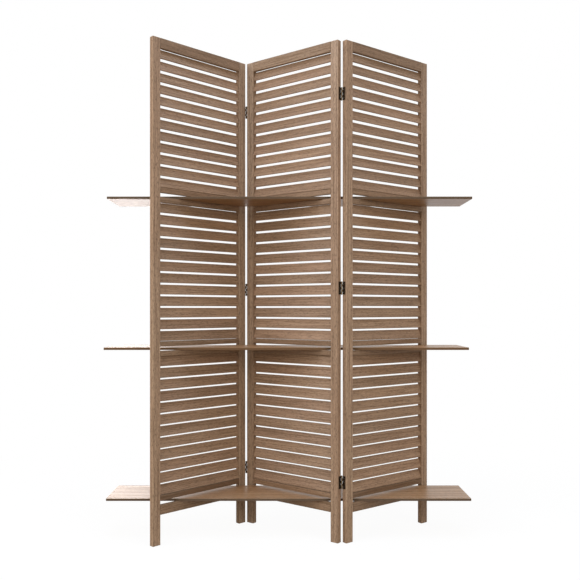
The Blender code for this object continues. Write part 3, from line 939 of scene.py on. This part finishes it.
@dataclass
class LouvredPanel:
    """One panel: two stiles, seven rails and three banks of tilted slats.

    Attributes:
        name: Which panel it is.
        standing: Where it stands.
        draw: Source of the boards' numbers.
        slat_tree: The tree that repeats the slats.
        width: Width of the panel.
        depth: Thickness of its stiles.
        rail_depth: Thickness of its rails, which are flush with the stiles' fronts.
        stile_width: Width of a stile.
        stile_round: Radius of a stile's edges.
        rail_round: Radius of a rail's edges.
        joint: Gap of the hairline where a rail meets a stile.
        slat_count: Slats in a bank.
        slat_width: Width of a slat.
        slat_depth: Thickness of a slat.
        slat_round: Radius of a slat's edges.
        slat_gap: Height of the slit between a bank and the rail above or below it.
        slat_tilt: How far a slat's top leans back, in degrees.
        slat_play: How far a slat may lean off that, in degrees.
        housing: How far a slat's ends go into the stiles.
        shaded_rails: Rails darkened with painted shade, for the shade just above the lower
            board.
    """

    name: PanelName
    standing: Standing
    draw: random.Random
    slat_tree: bpy.types.NodeTree
    width: float = 0.400
    depth: float = 0.019
    rail_depth: float = 0.012
    stile_width: float = 0.030
    stile_round: float = 0.0016
    rail_round: float = 0.0010
    joint: float = 0.0001
    slat_count: int = 12
    slat_width: float = 0.0343
    slat_depth: float = 0.0050
    slat_round: float = 0.0016
    slat_gap: float = 0.00045
    slat_tilt: float = 18.3
    slat_play: float = 0.35
    housing: float = 0.0015
    shaded_rails: frozenset[str] = frozenset()

    RAILS = ("bottom_rail", "lower_slot_head", "middle_slot_sill", "middle_slot_head",
             "upper_slot_sill", "upper_slot_head", "top_rail")
    # Each bank, with the rails above and below it
    RAILS_ROUND_A_BANK = {
        "lower": ("middle_slot_sill", "lower_slot_head"),
        "middle": ("upper_slot_sill", "middle_slot_head"),
        "upper": ("top_rail", "upper_slot_head"),
    }

    @property
    def opening(self) -> float:
        """Width between the stiles."""
        return self.width - 2 * self.stile_width

    def heights(self, node: str) -> tuple[float, float]:
        """Lowest and highest point of one of the panel's solids.

        Args:
            node: The solid's name without the panel's.

        Returns:
            The two heights.
        """
        low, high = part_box(f"{self.name.value}_{node}")
        return low[2], high[2]

    def add(
        self, name: str, mesh: bpy.types.Mesh, finish: WashedWood, slot: Slot, node: str
    ) -> None:
        """Move a mesh from the panel's frame to the screen's and put it in the scene.

        Args:
            name: The piece's name without the panel's.
            mesh: Its mesh in the panel's frame.
            finish: Its wood.
            slot: The record's slot; not used.
            node: The solid that it stands for, without the panel's name.
        """
        mesh.transform(self.standing.matrix)
        panel = self.name.value
        add_piece(f"{name}_of_{panel}_panel", mesh, finish, self.name.body,
                  (f"{panel}_{node}",))

    def add_stile(self, side: str, number: float) -> None:
        """Add an upright, whose lower end is a foot.

        Args:
            side: "left" or "right".
            number: The board's number.
        """
        low, high = self.heights(f"stile_{side}")
        board = Timber(high - low, self.stile_width, self.depth, self.stile_round)
        along = self.stile_width / 2 if side == "left" else (
            self.width - self.stile_width / 2)
        middle = Vector((along, self.depth / 2, (low + high) / 2))
        mesh = board.mesh(axes(UP, ALONG, THROUGH, middle), number)
        self.add(f"{side}_stile", mesh, STILE_WOOD, Slot.STILE, f"stile_{side}")

    def add_rail(self, node: str) -> None:
        """Add a rail between the stiles.

        Args:
            node: The rail's name.
        """
        low, high = self.heights(node)
        board = Timber(self.opening - 2 * self.joint, high - low, self.rail_depth,
                       self.rail_round)
        middle = Vector((self.width / 2, self.rail_depth / 2, (low + high) / 2))
        mesh = board.mesh(axes(ALONG, UP, -THROUGH, middle), self.draw.random())
        # Rails in shade take the copy with painted shade
        wood = SHADED_RAIL_WOOD if node in self.shaded_rails else RAIL_WOOD
        self.add(f"{node}_board", mesh, wood, Slot.RAIL, node)

    def add_bank(self, level: str, seed: int) -> None:
        """Add a bank of slats, repeated from one slat.

        Args:
            level: "lower", "middle" or "upper".
            seed: Seed of the slats' numbers and play.
        """
        above, below = self.RAILS_ROUND_A_BANK[level]
        low = self.heights(below)[1] + self.slat_gap
        high = self.heights(above)[0] - self.slat_gap
        tilt = math.radians(self.slat_tilt)
        rise = self.slat_width * math.cos(tilt) + self.slat_depth * math.sin(tilt)
        pitch = (high - low - rise) / (self.slat_count - 1)
        slat = Timber(self.opening + 2 * self.housing, self.slat_width, self.slat_depth,
                      self.slat_round)
        blank = slat.mesh(axes(ALONG, UP, -THROUGH, Vector((0, 0, 0))))
        mesh = realised(f"{level}_slats", blank, self.slat_tree, {
            "Slats": self.slat_count, "Pitch": pitch, "Tilt": -tilt,
            "Play": math.radians(self.slat_play), "Seed": seed,
            "Wood": SLAT_WOOD.material()})
        lowest = Vector((self.width / 2, self.depth / 2, low + rise / 2))
        mesh.transform(Matrix.Translation(lowest))
        self.add(f"{level}_slats", mesh, SLAT_WOOD, Slot.SLAT, f"{level}_louvre")

    def build(self, stile_numbers_with_shade: tuple[float, float], seed: int) -> None:
        """Build the whole panel.

        Args:
            stile_numbers_with_shade: The numbers of the left and the right stile, which
                also set their painted light and shade.
            seed: Seed of the lowest bank, and the next banks follow on.
        """
        for side, number in zip(("left", "right"), stile_numbers_with_shade):
            self.add_stile(side, number)
        for node in self.RAILS:
            self.add_rail(node)
        for step, level in enumerate(self.RAILS_ROUND_A_BANK):
            self.add_bank(level, seed + step)


@dataclass
class LooseBoard:
    """A shelf board, planed straight and threaded through the panels' slots.

    Attributes:
        level: "lower", "middle" or "upper".
        number: The board's number.
        wood: What it is made of.
        round_over: Radius of its edges.
    """

    level: str
    number: float
    wood: WashedWood = SHELF_WOOD
    round_over: float = 0.0010

    def build(self) -> None:
        """Build the board where its solid lies."""
        low, high = (Vector(corner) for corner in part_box(f"{self.level}_shelf"))
        size = high - low
        board = Timber(size.x, size.y, size.z, self.round_over)
        mesh = board.mesh(axes(ALONG, THROUGH, UP, (low + high) / 2), self.number)
        add_piece(f"{self.level}_loose_board", mesh, self.wood, f"{self.level}_board",
                  (f"{self.level}_shelf",))


def ring(
    work: bmesh.types.BMesh, radius: float, height: float, sides: int
) -> list[bmesh.types.BMVert]:
    """Add a ring of points round the upright axis, or one point on it.

    Args:
        work: The mesh being built.
        radius: The ring's radius, or zero for the one point.
        height: Its height.
        sides: Points in it.

    Returns:
        The points in order.
    """
    turns = [2 * math.pi * step / sides for step in range(sides if radius > 0 else 1)]
    return [work.verts.new((radius * math.cos(turn), radius * math.sin(turn), height))
            for turn in turns]


def join_rings(
    work: bmesh.types.BMesh,
    first: Sequence[bmesh.types.BMVert],
    second: Sequence[bmesh.types.BMVert],
) -> None:
    """Lay a band of faces between two rings, one of which may be one point.

    Args:
        work: The mesh being built.
        first: The one ring.
        second: The other ring.
    """
    sides = max(len(first), len(second))
    for step in range(sides):
        after = (step + 1) % sides
        loop = [first[step % len(first)], first[after % len(first)],
                second[after % len(second)], second[step % len(second)]]
        work.faces.new(list(dict.fromkeys(loop)))


def lathe(profile: Sequence[tuple[float, float]], sides: int) -> bpy.types.Mesh:
    """Turn a profile about the upright axis into a closed, smooth solid.

    Args:
        profile: Radius and height of each point, from the top to the bottom.
        sides: Facets round the axis.

    Returns:
        The mesh.
    """
    work = bmesh.new()
    rings = [ring(work, radius, height, sides) for radius, height in profile]
    for upper, lower in zip(rings, rings[1:]):
        join_rings(work, lower, upper)
    return finish_metal(work)


# Points of a metal piece that are nearer to each other than this become one
SAME_POINT = 0.001 * MM
# Faces that meet at a smaller angle than this are one round surface
SHARP_FROM = math.radians(34)


def finish_metal(work: bmesh.types.BMesh) -> bpy.types.Mesh:
    """Close a metal piece's mesh: normals out, round faces smooth, corners sharp.

    Args:
        work: The mesh being built, which is freed.

    Returns:
        The mesh.
    """
    bmesh.ops.remove_doubles(work, verts=work.verts[:], dist=SAME_POINT)
    bmesh.ops.recalc_face_normals(work, faces=work.faces[:])
    for face in work.faces:
        face.smooth = True
    for edge in work.edges:
        edge.smooth = edge.calc_face_angle(0.0) < SHARP_FROM
    made = bpy.data.meshes.new("metal")
    work.to_mesh(made)
    work.free()
    return made


@dataclass
class ButtHinge:
    """A butt hinge: two leaves with rolled knuckles, a headed pin and six screws.

    Attributes:
        fold: "left" or "right", the fold that it is on.
        level: "bottom", "middle" or "top".
        barrel: The face of the panels that its barrel stands on.
        height: Height of its middle above the floor.
        tall: Height of the leaves.
        leaf_width: Reach of a leaf from the axis.
        leaf_depth: Thickness of the metal.
        leaf_round: Radius of a leaf's free corners.
        leaf_ease: Rounding of the rims of a leaf's plate.
        seat: Gap between a leaf and the wood.
        setback: Distance from the axis to the wood.
        knuckle_radius: Outer radius of the barrel.
        bore: Radius of the hole in the barrel.
        knuckle_count: Knuckles in the barrel.
        knuckle_gap: Gap between knuckles.
        knuckle_ease: Bevel at a knuckle's ends.
        pin_radius: Radius of the pin.
        head_radius: Radius of the pin's heads.
        head_height: Height of the pin's heads.
        screw_pitch: Height between the screws.
        screw_offset: Distance of the screws from the axis.
        screw_radius: Radius of a screw's head.
        highlight_and_wear: How much of the pale colour the barrels show, by the face that
            they stand on. It is a painted highlight on the back ones and a little rubbing
            on the front ones.
    """

    fold: str
    level: str
    barrel: Barrel
    height: float
    tall: float = 0.0435
    leaf_width: float = 0.015
    leaf_depth: float = 0.0012
    leaf_round: float = 0.0020
    leaf_ease: float = 0.00018
    seat: float = 0.0003
    setback: float = 0.003
    knuckle_radius: float = 0.0025
    bore: float = 0.00128
    knuckle_count: int = 5
    knuckle_gap: float = 0.0004
    knuckle_ease: float = 0.0002
    pin_radius: float = 0.0012
    head_radius: float = 0.0019
    head_height: float = 0.0008
    screw_pitch: float = 0.014
    screw_offset: float = 0.0095
    screw_radius: float = 0.0025
    # The barrels behind the right fold carry a painted highlight, and those of the left
    # fold a trace of rubbing
    highlight_and_wear: Mapping[Barrel, float] = field(default_factory=lambda: {
        Barrel.FRONT: 0.05, Barrel.BACK: 0.9})

    BARREL_SIDES = 28
    # Facets in a leaf's rounded corner
    CORNER_FACETS = 4
    # A pin head's section from its top down, as shares of its radius and its height
    HEAD_SECTION = ((0.0, 1.0), (0.45, 0.96), (0.75, 0.80), (0.93, 0.50),
                    (1.0, 0.18), (1.0, 0.0))

    @property
    def name(self) -> str:
        """The hinge's name."""
        return f"{self.fold}_hinge_{self.level}"

    @property
    def near_face(self) -> float:
        """Distance from the axis to the face of a leaf that looks at it."""
        return self.setback - self.seat - self.leaf_depth

    def axis(self, panel: LouvredPanel, plan: FloorPlan, wood_side: int) -> Vector:
        """The middle of the hinge's axis in a panel's frame.

        Args:
            panel: The panel.
            plan: The floor plan.
            wood_side: 1 where the panel lies on the axis's +X side, or -1.

        Returns:
            The place.
        """
        along = -self.setback if wood_side > 0 else panel.width + self.setback
        through = (-plan.standoff if self.barrel is Barrel.FRONT
                   else panel.depth + plan.standoff)
        return Vector((along, through, self.height))

    def knuckle_spans(self, own: Iterable[int]) -> list[tuple[float, float]]:
        """Lower and upper ends of some knuckles, from the hinge's middle.

        Args:
            own: The knuckles' numbers from the bottom.

        Returns:
            The spans.
        """
        step = (self.tall + self.knuckle_gap) / self.knuckle_count
        length = step - self.knuckle_gap
        return [(-self.tall / 2 + index * step, -self.tall / 2 + index * step + length)
                for index in own]

    def plate_outline(
        self, other: Sequence[tuple[float, float]]
    ) -> list[tuple[float, float]]:
        """Outline of a leaf's plate, as reach from the axis and height.

        Args:
            other: Spans of the other leaf's knuckles, which the plate leaves free.

        Returns:
            The outline's points in order.
        """
        clear = self.knuckle_radius + self.knuckle_gap
        half = self.tall / 2
        cuts = [(max(low - self.knuckle_gap, -half), min(high + self.knuckle_gap, half))
                for low, high in other]
        inner = [(clear if cuts and cuts[0][0] <= -half else 0.0, -half)]
        for low, high in cuts:
            if low > -half:
                inner += [(0.0, low), (clear, low)]
            if high < half:
                inner += [(clear, high), (0.0, high)]
        inner.append((clear if cuts and cuts[-1][1] >= half else 0.0, half))
        corners: list[tuple[float, float]] = []
        for way in (1, -1):
            middle = (self.leaf_width - self.leaf_round, way * (half - self.leaf_round))
            for step in range(self.CORNER_FACETS + 1):
                angle = math.pi / 2 / self.CORNER_FACETS * step
                swing = math.pi / 2 - angle if way > 0 else angle
                corners.append((middle[0] + self.leaf_round * math.cos(swing),
                                middle[1] + way * self.leaf_round * math.sin(swing)))
        return inner + corners

    def leaf_mesh(self, wood_side: int, own: Iterable[int]) -> bpy.types.Mesh:
        """Build a leaf round the axis: its plate and its rolled knuckles.

        Args:
            wood_side: 1 where the wood lies on the axis's +X side, or -1.
            own: Numbers of the knuckles that belong to this leaf.

        Returns:
            The mesh.
        """
        own = list(own)
        rest = [index for index in range(self.knuckle_count) if index not in own]
        outline = self.plate_outline(self.knuckle_spans(rest))
        way = self.barrel.value
        work = bmesh.new()
        inner = wood_side * self.near_face
        face = work.faces.new([work.verts.new((inner, way * reach, rise))
                               for reach, rise in outline])
        grown = bmesh.ops.extrude_face_region(work, geom=[face])
        moved = [item for item in grown["geom"] if isinstance(item, bmesh.types.BMVert)]
        bmesh.ops.translate(work, verts=moved,
                            vec=Vector((wood_side * self.leaf_depth, 0, 0)))
        bmesh.ops.recalc_face_normals(work, faces=work.faces[:])
        # The rims lie in the plate's two faces, and the other edges join these
        rims = [edge for edge in work.edges
                if abs(edge.verts[0].co.x - edge.verts[1].co.x) < self.leaf_depth / 2]
        bmesh.ops.bevel(work, geom=rims, offset=self.leaf_ease, segments=2,
                        profile=0.5, affect="EDGES", clamp_overlap=True)
        # The knuckles carry the painted highlight on the back barrels and a little rubbing
        # on the front ones
        film_wear_and_highlight = work.verts.layers.float.new(PAINTED_HIGHLIGHT_AND_WEAR)
        for low, high in self.knuckle_spans(own):
            for vert in self.add_knuckle(work, low, high):
                vert[film_wear_and_highlight] = self.highlight_and_wear[self.barrel]
        return finish_metal(work)

    def add_knuckle(
        self, work: bmesh.types.BMesh, low: float, high: float
    ) -> list[bmesh.types.BMVert]:
        """Add one rolled knuckle, a short tube round the axis.

        Args:
            work: The mesh being built.
            low: Its lower end.
            high: Its upper end.

        Returns:
            Its points.
        """
        radius, ease = self.knuckle_radius, self.knuckle_ease
        section = ((self.bore, low), (radius - ease, low), (radius, low + ease),
                   (radius, high - ease), (radius - ease, high), (self.bore, high))
        rings = [ring(work, reach, height, self.BARREL_SIDES)
                 for reach, height in section]
        for first, second in zip(rings, rings[1:] + rings[:1]):
            join_rings(work, first, second)
        return [vert for band in rings for vert in band]

    def pin_mesh(self) -> bpy.types.Mesh:
        """Build the pin with its two button heads, round the axis.

        Returns:
            The mesh.
        """
        # The heads clear the barrel by as much as the leaves clear the wood
        under = self.tall / 2 + self.seat
        upper = [(across * self.head_radius, under + up * self.head_height)
                 for across, up in self.HEAD_SECTION]
        upper.append((self.pin_radius, under))
        lower = [(radius, -height) for radius, height in reversed(upper)]
        return lathe(upper + lower, self.BARREL_SIDES)

    def screw_spots(self, wood_side: int) -> list[tuple[Vector, Vector]]:
        """Places of a leaf's screws from the hinge's middle, and where they face.

        Args:
            wood_side: 1 where the wood lies on the axis's +X side, or -1.

        Returns:
            Place and facing of each screw.
        """
        stagger = self.screw_radius / 2
        spots = []
        for rise, offset in ((-self.screw_pitch, -stagger), (0.0, stagger),
                             (self.screw_pitch, -stagger)):
            reach = self.barrel.value * (self.screw_offset + offset)
            spots.append((Vector((wood_side * self.near_face, reach, rise)),
                          Vector((-wood_side, 0, 0))))
        return spots


@dataclass
class ScrewBlank:
    """A countersunk wood screw's head, with a cross recess.

    Attributes:
        radius: Radius of the head.
        proud: How far the head stands above the leaf.
        sunk: How far its cone goes into the leaf.
        recess_reach: Half the span of the cross.
        recess_width: Half the width of the cross's arms.
        recess_depth: Depth of the cross.
        sides: Facets round the head.
    """

    radius: float = 0.0025
    proud: float = 0.00035
    sunk: float = 0.0006
    recess_reach: float = 0.0014
    recess_width: float = 0.00032
    recess_depth: float = 0.0007
    sides: int = 24

    # The section above the leaf's face, as shares of the radius and of the proud height
    CROWN = ((0.96, 0.0), (1.0, 0.35), (0.93, 0.85), (0.82, 1.0))
    # Share of the radius at the foot of the cone, and of the cross's span at its floor
    CONE_FOOT, CROSS_FLOOR = 0.45, 0.62

    def cross(self, scale: float, height: float) -> list[tuple[float, float, float]]:
        """Outline of the cross recess.

        Args:
            scale: Share of its full span.
            height: Height of the outline.

        Returns:
            Twelve points in order.
        """
        reach, width = self.recess_reach * scale, self.recess_width
        arm = [(reach, -width), (reach, width), (width, width)]
        points = []
        for quarter in range(4):
            turn = Matrix.Rotation(math.pi / 2 * quarter, 3, "Z")
            points += [tuple(turn @ Vector((x, y, height))) for x, y in arm]
        return points

    def mesh(self) -> bpy.types.Mesh:
        """Build the head, with its axis on +Z and the leaf's face at its origin.

        Returns:
            The mesh.
        """
        work = bmesh.new()
        section = [(self.CONE_FOOT * self.radius, -self.sunk)]
        section += [(across * self.radius, up * self.proud)
                    for across, up in self.CROWN]
        rings = [ring(work, radius, height, self.sides) for radius, height in section]
        for lower, upper in zip(rings, rings[1:]):
            join_rings(work, lower, upper)
        work.faces.new(list(reversed(rings[0])))
        mouth = [work.verts.new(point) for point in self.cross(1.0, self.proud)]
        floor = [
            work.verts.new(point)
            for point in self.cross(self.CROSS_FLOOR, self.proud - self.recess_depth)]
        rim = [work.edges.get((first, second)) or work.edges.new((first, second))
               for loop in (rings[-1], mouth)
               for first, second in zip(loop, loop[1:] + loop[:1])]
        bmesh.ops.triangle_fill(work, use_beauty=True, edges=rim)
        join_rings(work, mouth, floor)
        work.faces.new(floor)
        return finish_metal(work)


@dataclass
class Ironmongery:
    """All the hinges, their pins and their screws.

    Attributes:
        panels: The panels that they join.
        plan: The floor plan.
        tree: The tree that sets the screws.
        inner_knuckles: Knuckles on the middle panel's leaves.
        outer_knuckles: Knuckles on the other leaves.
        seed: Seed of the screws' turns.
    """

    panels: Mapping[PanelName, LouvredPanel]
    plan: FloorPlan
    tree: bpy.types.NodeTree
    inner_knuckles: tuple[int, ...] = (0, 2, 4)
    outer_knuckles: tuple[int, ...] = (1, 3)
    seed: int = 41

    FOLDS = (("left", Barrel.FRONT, PanelName.LEFT, -1),
             ("right", Barrel.BACK, PanelName.RIGHT, 1))
    LEVELS = ("bottom", "middle", "top")

    def build(self) -> None:
        """Build the hinges, then the screws of each panel."""
        spots: dict[PanelName, list[tuple[Vector, Vector]]] = {
            panel: [] for panel in self.panels}
        for fold, barrel, outer_panel, outer_side in self.FOLDS:
            for level in self.LEVELS:
                low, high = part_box(f"{fold}_hinge_{level}_leaf_outer")
                hinge = ButtHinge(fold, level, barrel, (low[2] + high[2]) / 2)
                leaves = (
                    ("leaf_outer", outer_panel, outer_side, self.outer_knuckles),
                    ("leaf_inner", PanelName.MIDDLE, -outer_side, self.inner_knuckles))
                for part, panel, side, own in leaves:
                    spots[panel] += self.add_leaf(hinge, part, panel, side, own)
                self.add_pin(hinge, -outer_side)
        self.add_screws(spots)

    def add_leaf(
        self, hinge: ButtHinge, part: str, panel: PanelName, side: int,
        own: tuple[int, ...],
    ) -> list[tuple[Vector, Vector]]:
        """Add a leaf to the scene.

        Args:
            hinge: The hinge.
            part: "leaf_outer" or "leaf_inner".
            panel: The panel that it is screwed to.
            side: 1 where the wood lies on the axis's +X side, or -1.
            own: Its knuckles.

        Returns:
            Where its screws go, and where they face, in the screen's frame.
        """
        standing = self.panels[panel].standing.matrix
        middle = hinge.axis(self.panels[panel], self.plan, side)
        place = standing @ Matrix.Translation(middle)
        mesh = hinge.leaf_mesh(side, own)
        mesh.transform(place)
        add_piece(f"{part}_of_{hinge.name}", mesh, LEAF_STEEL, panel.body,
                  (f"{hinge.name}_{part}",))
        turn = place.to_3x3()
        return [(place @ spot, turn @ facing)
                for spot, facing in hinge.screw_spots(side)]

    def add_pin(self, hinge: ButtHinge, side: int) -> None:
        """Add a hinge's pin, which stays with the middle panel.

        Args:
            hinge: The hinge.
            side: 1 where the middle panel lies on the axis's +X side, or -1.
        """
        middle_panel = self.panels[PanelName.MIDDLE]
        middle = hinge.axis(middle_panel, self.plan, side)
        mesh = hinge.pin_mesh()
        mesh.transform(middle_panel.standing.matrix @ Matrix.Translation(middle))
        add_piece(f"pin_of_{hinge.name}", mesh, PIN_STEEL, PanelName.MIDDLE.body,
                  (f"{hinge.name}_pin",))

    def add_screws(
        self, spots: Mapping[PanelName, Sequence[tuple[Vector, Vector]]]
    ) -> None:
        """Add each panel's screws as one piece.

        Args:
            spots: Place and facing of each screw, by panel.
        """
        blank = add_object("screw_blank", ScrewBlank().mesh())
        for step, (panel, places) in enumerate(spots.items()):
            points = bpy.data.meshes.new("screw_places")
            points.from_pydata([place for place, _ in places], [], [])
            facing = points.attributes.new(FACING, "FLOAT_VECTOR", "POINT")
            for entry, (_, direction) in zip(facing.data, places):
                entry.vector = direction
            mesh = realised("screws", points, self.tree, {
                "Screw": blank, "Seed": self.seed + step,
                "Steel": SCREW_STEEL.material()})
            add_piece(f"hinge_screws_of_{panel.value}_panel", mesh, SCREW_STEEL,
                      panel.body)
        bpy.data.objects.remove(blank)


@dataclass(frozen=True)
class SoftBox:
    """A square studio lamp behind a diffuser.

    Attributes:
        name: Its name.
        place: Where it hangs.
        size: Its side.
        power: Its power in watts.
        colour: Colour of its light.
        aim: The point that it faces.
    """

    name: str
    place: tuple[float, float, float]
    size: float
    power: float
    colour: str
    aim: tuple[float, float, float] = (0.0, 0.0, 0.85)

    def build(self) -> None:
        """Hang the lamp."""
        lamp = bpy.data.lights.new(self.name, "AREA")
        lamp.shape = "SQUARE"
        lamp.size = self.size
        lamp.energy = self.power
        lamp.color = linear(self.colour)[:3]
        hung = add_object(self.name, lamp)
        hung.location = self.place
        # It lights the screen and stays out of the picture
        hung.visible_camera = False
        look = Vector(self.aim) - Vector(self.place)
        hung.rotation_euler = look.to_track_quat("-Z", "Y").to_euler()


@dataclass
class Studio:
    """A white studio: a pale floor, a white surround and five soft boxes.

    Attributes:
        floor_size: Side of the floor.
        floor_colour: The floor's own colour, as the wood sees it.
        floor_white: Share of plain white that the camera sees in the floor.
        shadow_reach: Distances from the middle between which the shadow fades out.
        sky: Strength of the surround's light.
        sky_colour: Its colour.
        lamps: The soft boxes.
    """

    floor_size: float = 60.0
    floor_colour: str = "#ac9d88"
    floor_white: float = 0.94
    shadow_reach: tuple[float, float] = (0.8, 1.9)
    sky: float = 0.47
    sky_colour: str = "#fff6ed"
    lamps: tuple[SoftBox, ...] = (
        SoftBox("top_soft_box", (0.0, -0.6, 4.4), 2.4, 90.0, "#c8deff"),
        SoftBox("high_left_soft_box", (-3.2, -1.8, 2.9), 2.0, 50.0, WHITE),
        SoftBox("left_soft_box", (-2.8, -3.0, 1.4), 2.0, 40.0, "#fffaf0"),
        SoftBox("right_soft_box", (2.8, -3.0, 1.4), 2.0, 45.0, "#fffaf0"),
        SoftBox("far_left_soft_box", (-1.5, 3.2, 0.85), 1.0, 18.0, "#fff6f2"),
    )

    def seen(self, tree: bpy.types.NodeTree) -> bpy.types.NodeSocket:
        """Tell the rays that reach the eye from those that light the screen.

        Args:
            tree: The tree of the floor or the surround.

        Returns:
            One for what the camera sees, also in a gloss or through glass, or zero.
        """
        path = add_node(tree, "ShaderNodeLightPath").outputs
        either = add_node(tree, "ShaderNodeMath", {"operation": "MAXIMUM"}, {
            0: path["Is Camera Ray"], 1: path["Is Glossy Ray"]})
        every = add_node(tree, "ShaderNodeMath", {"operation": "MAXIMUM"}, {
            0: either.outputs["Value"], 1: path["Is Transmission Ray"]})
        return every.outputs["Value"]

    def build_surround(self) -> None:
        """Make the world white to the eye and soft to the wood."""
        world = bpy.data.worlds.new("white_surround")
        bpy.context.scene.world = world
        world.use_nodes = True
        tree = world.node_tree
        tree.nodes.clear()
        soft = add_node(tree, "ShaderNodeBackground", None, {
            "Color": linear(self.sky_colour), "Strength": self.sky})
        white = add_node(tree, "ShaderNodeBackground", None, {
            "Color": linear(WHITE), "Strength": 1.0})
        both = add_node(tree, "ShaderNodeMixShader", None, {
            0: self.seen(tree), 1: soft.outputs["Background"],
            2: white.outputs["Background"]})
        add_node(tree, "ShaderNodeOutputWorld", None, {
            "Surface": both.outputs["Shader"]})

    def build_floor(self) -> None:
        """Lay the floor, white to the eye but for the screen's soft shadow."""
        half = self.floor_size / 2
        mesh = bpy.data.meshes.new("studio_floor")
        mesh.from_pydata([(-half, -half, 0), (half, -half, 0), (half, half, 0),
                          (-half, half, 0)], [], [(0, 1, 2, 3)])
        # Matt vinyl roll, which scatters evenly
        vinyl = bpy.data.materials.new("matt_white_vinyl")
        vinyl.use_nodes = True
        tree = vinyl.node_tree
        tree.nodes.clear()
        seen = self.seen(tree)
        colour = add_node(tree, "ShaderNodeMix", {"data_type": "RGBA"}, {
            MIX_FACTOR: seen, MIX_FIRST: linear(self.floor_colour),
            MIX_SECOND: linear(WHITE)})
        matt = add_node(tree, "ShaderNodeBsdfDiffuse", None, {
            "Color": colour.outputs[MIX_RESULT], "Roughness": 0.6})
        bright = add_node(tree, "ShaderNodeEmission", None, {
            "Color": linear(WHITE), "Strength": 1.0})
        # Far from the screen the floor is as white as the surround
        place = add_node(tree, "ShaderNodeTexCoord")
        distance = add_node(tree, "ShaderNodeVectorMath", {"operation": "LENGTH"}, {
            0: place.outputs["Object"]})
        near, far = self.shadow_reach
        white = add_node(tree, "ShaderNodeMapRange", SMOOTH, {
            "Value": distance.outputs["Value"], "From Min": near, "From Max": far,
            "To Min": self.floor_white, "To Max": 1.0})
        share = add_node(tree, "ShaderNodeMath", {"operation": "MULTIPLY"}, {
            0: seen, 1: white.outputs["Result"]})
        both = add_node(tree, "ShaderNodeMixShader", None, {
            0: share.outputs["Value"], 1: matt.outputs["BSDF"],
            2: bright.outputs["Emission"]})
        add_node(tree, "ShaderNodeOutputMaterial", None, {
            "Surface": both.outputs["Shader"]})
        mesh.materials.append(vinyl)
        add_object("studio_floor", mesh)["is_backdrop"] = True

    def build(self) -> None:
        """Build the whole studio."""
        self.build_surround()
        self.build_floor()
        for lamp in self.lamps:
            lamp.build()
        bpy.context.scene.view_settings.view_transform = "Standard"


@dataclass(frozen=True)
class Viewpoint:
    """The camera, where the photograph was taken from.

    Attributes:
        place: Where it stands; it looks level, along +Y.
        focal_pixels: Focal length in pixels of the photograph.
        centre_pixels: The point of the photograph that it looks straight at.
        frame_pixels: Side of the photograph.
        sensor: Side of the sensor in millimetres.
    """

    place: tuple[float, float, float] = (-0.0050, -2.4781, 0.7922)
    focal_pixels: float = 702.7
    centre_pixels: tuple[float, float] = (286.46, 308.66)
    frame_pixels: float = 580.0
    sensor: float = 36.0

    def build(self) -> None:
        """Set up the camera."""
        lens = bpy.data.cameras.new("photograph_camera")
        lens.sensor_width = self.sensor
        lens.lens = self.focal_pixels / self.frame_pixels * self.sensor
        middle = self.frame_pixels / 2
        lens.shift_x = (middle - self.centre_pixels[0]) / self.frame_pixels
        lens.shift_y = (self.centre_pixels[1] - middle) / self.frame_pixels
        camera = add_object("photograph_camera", lens)
        camera.location = self.place
        camera.rotation_euler = (math.pi / 2, 0, 0)
        bpy.context.scene.camera = camera


def clear_scene() -> None:
    """Remove whatever the file holds at the start."""
    for item in list(bpy.data.objects):
        bpy.data.objects.remove(item, do_unlink=True)


def write_sizes(solid: Sequence[Vector], seen: Sequence[Vector]) -> None:
    """Args:
        solid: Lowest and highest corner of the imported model.
        seen: Lowest and highest corner of what is shown.
    """
    boxes = {"cad": [list(corner) for corner in solid],
             "visual": [list(corner) for corner in seen]}
    for label, (low, high) in boxes.items():
        log.info("%s box: %s to %s", label, low, high)


# Seed of the rails' numbers, and seed of the first panel's slats and how far it is to
# the next panel's
RAIL_SEED = 1700
SLAT_SEED, SLAT_SEED_STEP = 100, 10
# A board's number says where in the log it lay, and a higher one is paler.  The near
# stiles get high numbers and the far ones low numbers. This paints light on the near
# stiles and shade on the far ones, in the hollows of the folds.
STILE_NUMBERS_WITH_SHADE = {PanelName.LEFT: (0.98, 0.20), PanelName.MIDDLE: (0.14, 0.76),
                 PanelName.RIGHT: (0.92, 0.33)}
# The lower slot heads of the left and right panels are darkened with painted shade, for
# the shade where they stand just above the lower board
SHADED_RAILS = {PanelName.LEFT: frozenset({"lower_slot_head"}),
              PanelName.MIDDLE: frozenset(),
              PanelName.RIGHT: frozenset({"lower_slot_head"})}
LOOSE_BOARDS = (LooseBoard("lower", number=0.37, wood=LOWER_SHELF_WOOD),
                LooseBoard("middle", number=0.72, wood=MIDDLE_SHELF_WOOD),
                LooseBoard("upper", number=0.08, wood=SHELF_WOOD))


def main() -> None:
    """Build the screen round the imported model, and the studio round the screen."""
    logging.basicConfig(level=logging.INFO, format="%(name)s: %(message)s")
    clear_scene()
    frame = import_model()
    solid_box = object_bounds()
    axis_places = {joint["name"]: Vector(joint["pos_m"])
                   for joint in frame["joints"] if "pos_m" in joint}
    plan = FloorPlan()
    draw = random.Random(RAIL_SEED)
    slat_tree = slat_row_tree()
    panels = {}
    for step, name in enumerate(PanelName):
        panels[name] = LouvredPanel(
            name, plan.stand(name, axis_places), draw, slat_tree,
            width=plan.panel_width, depth=plan.panel_depth,
            shaded_rails=SHADED_RAILS[name])
        panels[name].build(STILE_NUMBERS_WITH_SHADE[name], SLAT_SEED + SLAT_SEED_STEP * step)
    for board in LOOSE_BOARDS:
        board.build()
    Ironmongery(panels, plan, screw_tree()).build()
    Studio().build()
    Viewpoint().build()
    write_sizes(solid_box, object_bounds())


if __name__ == "__main__":
    main()
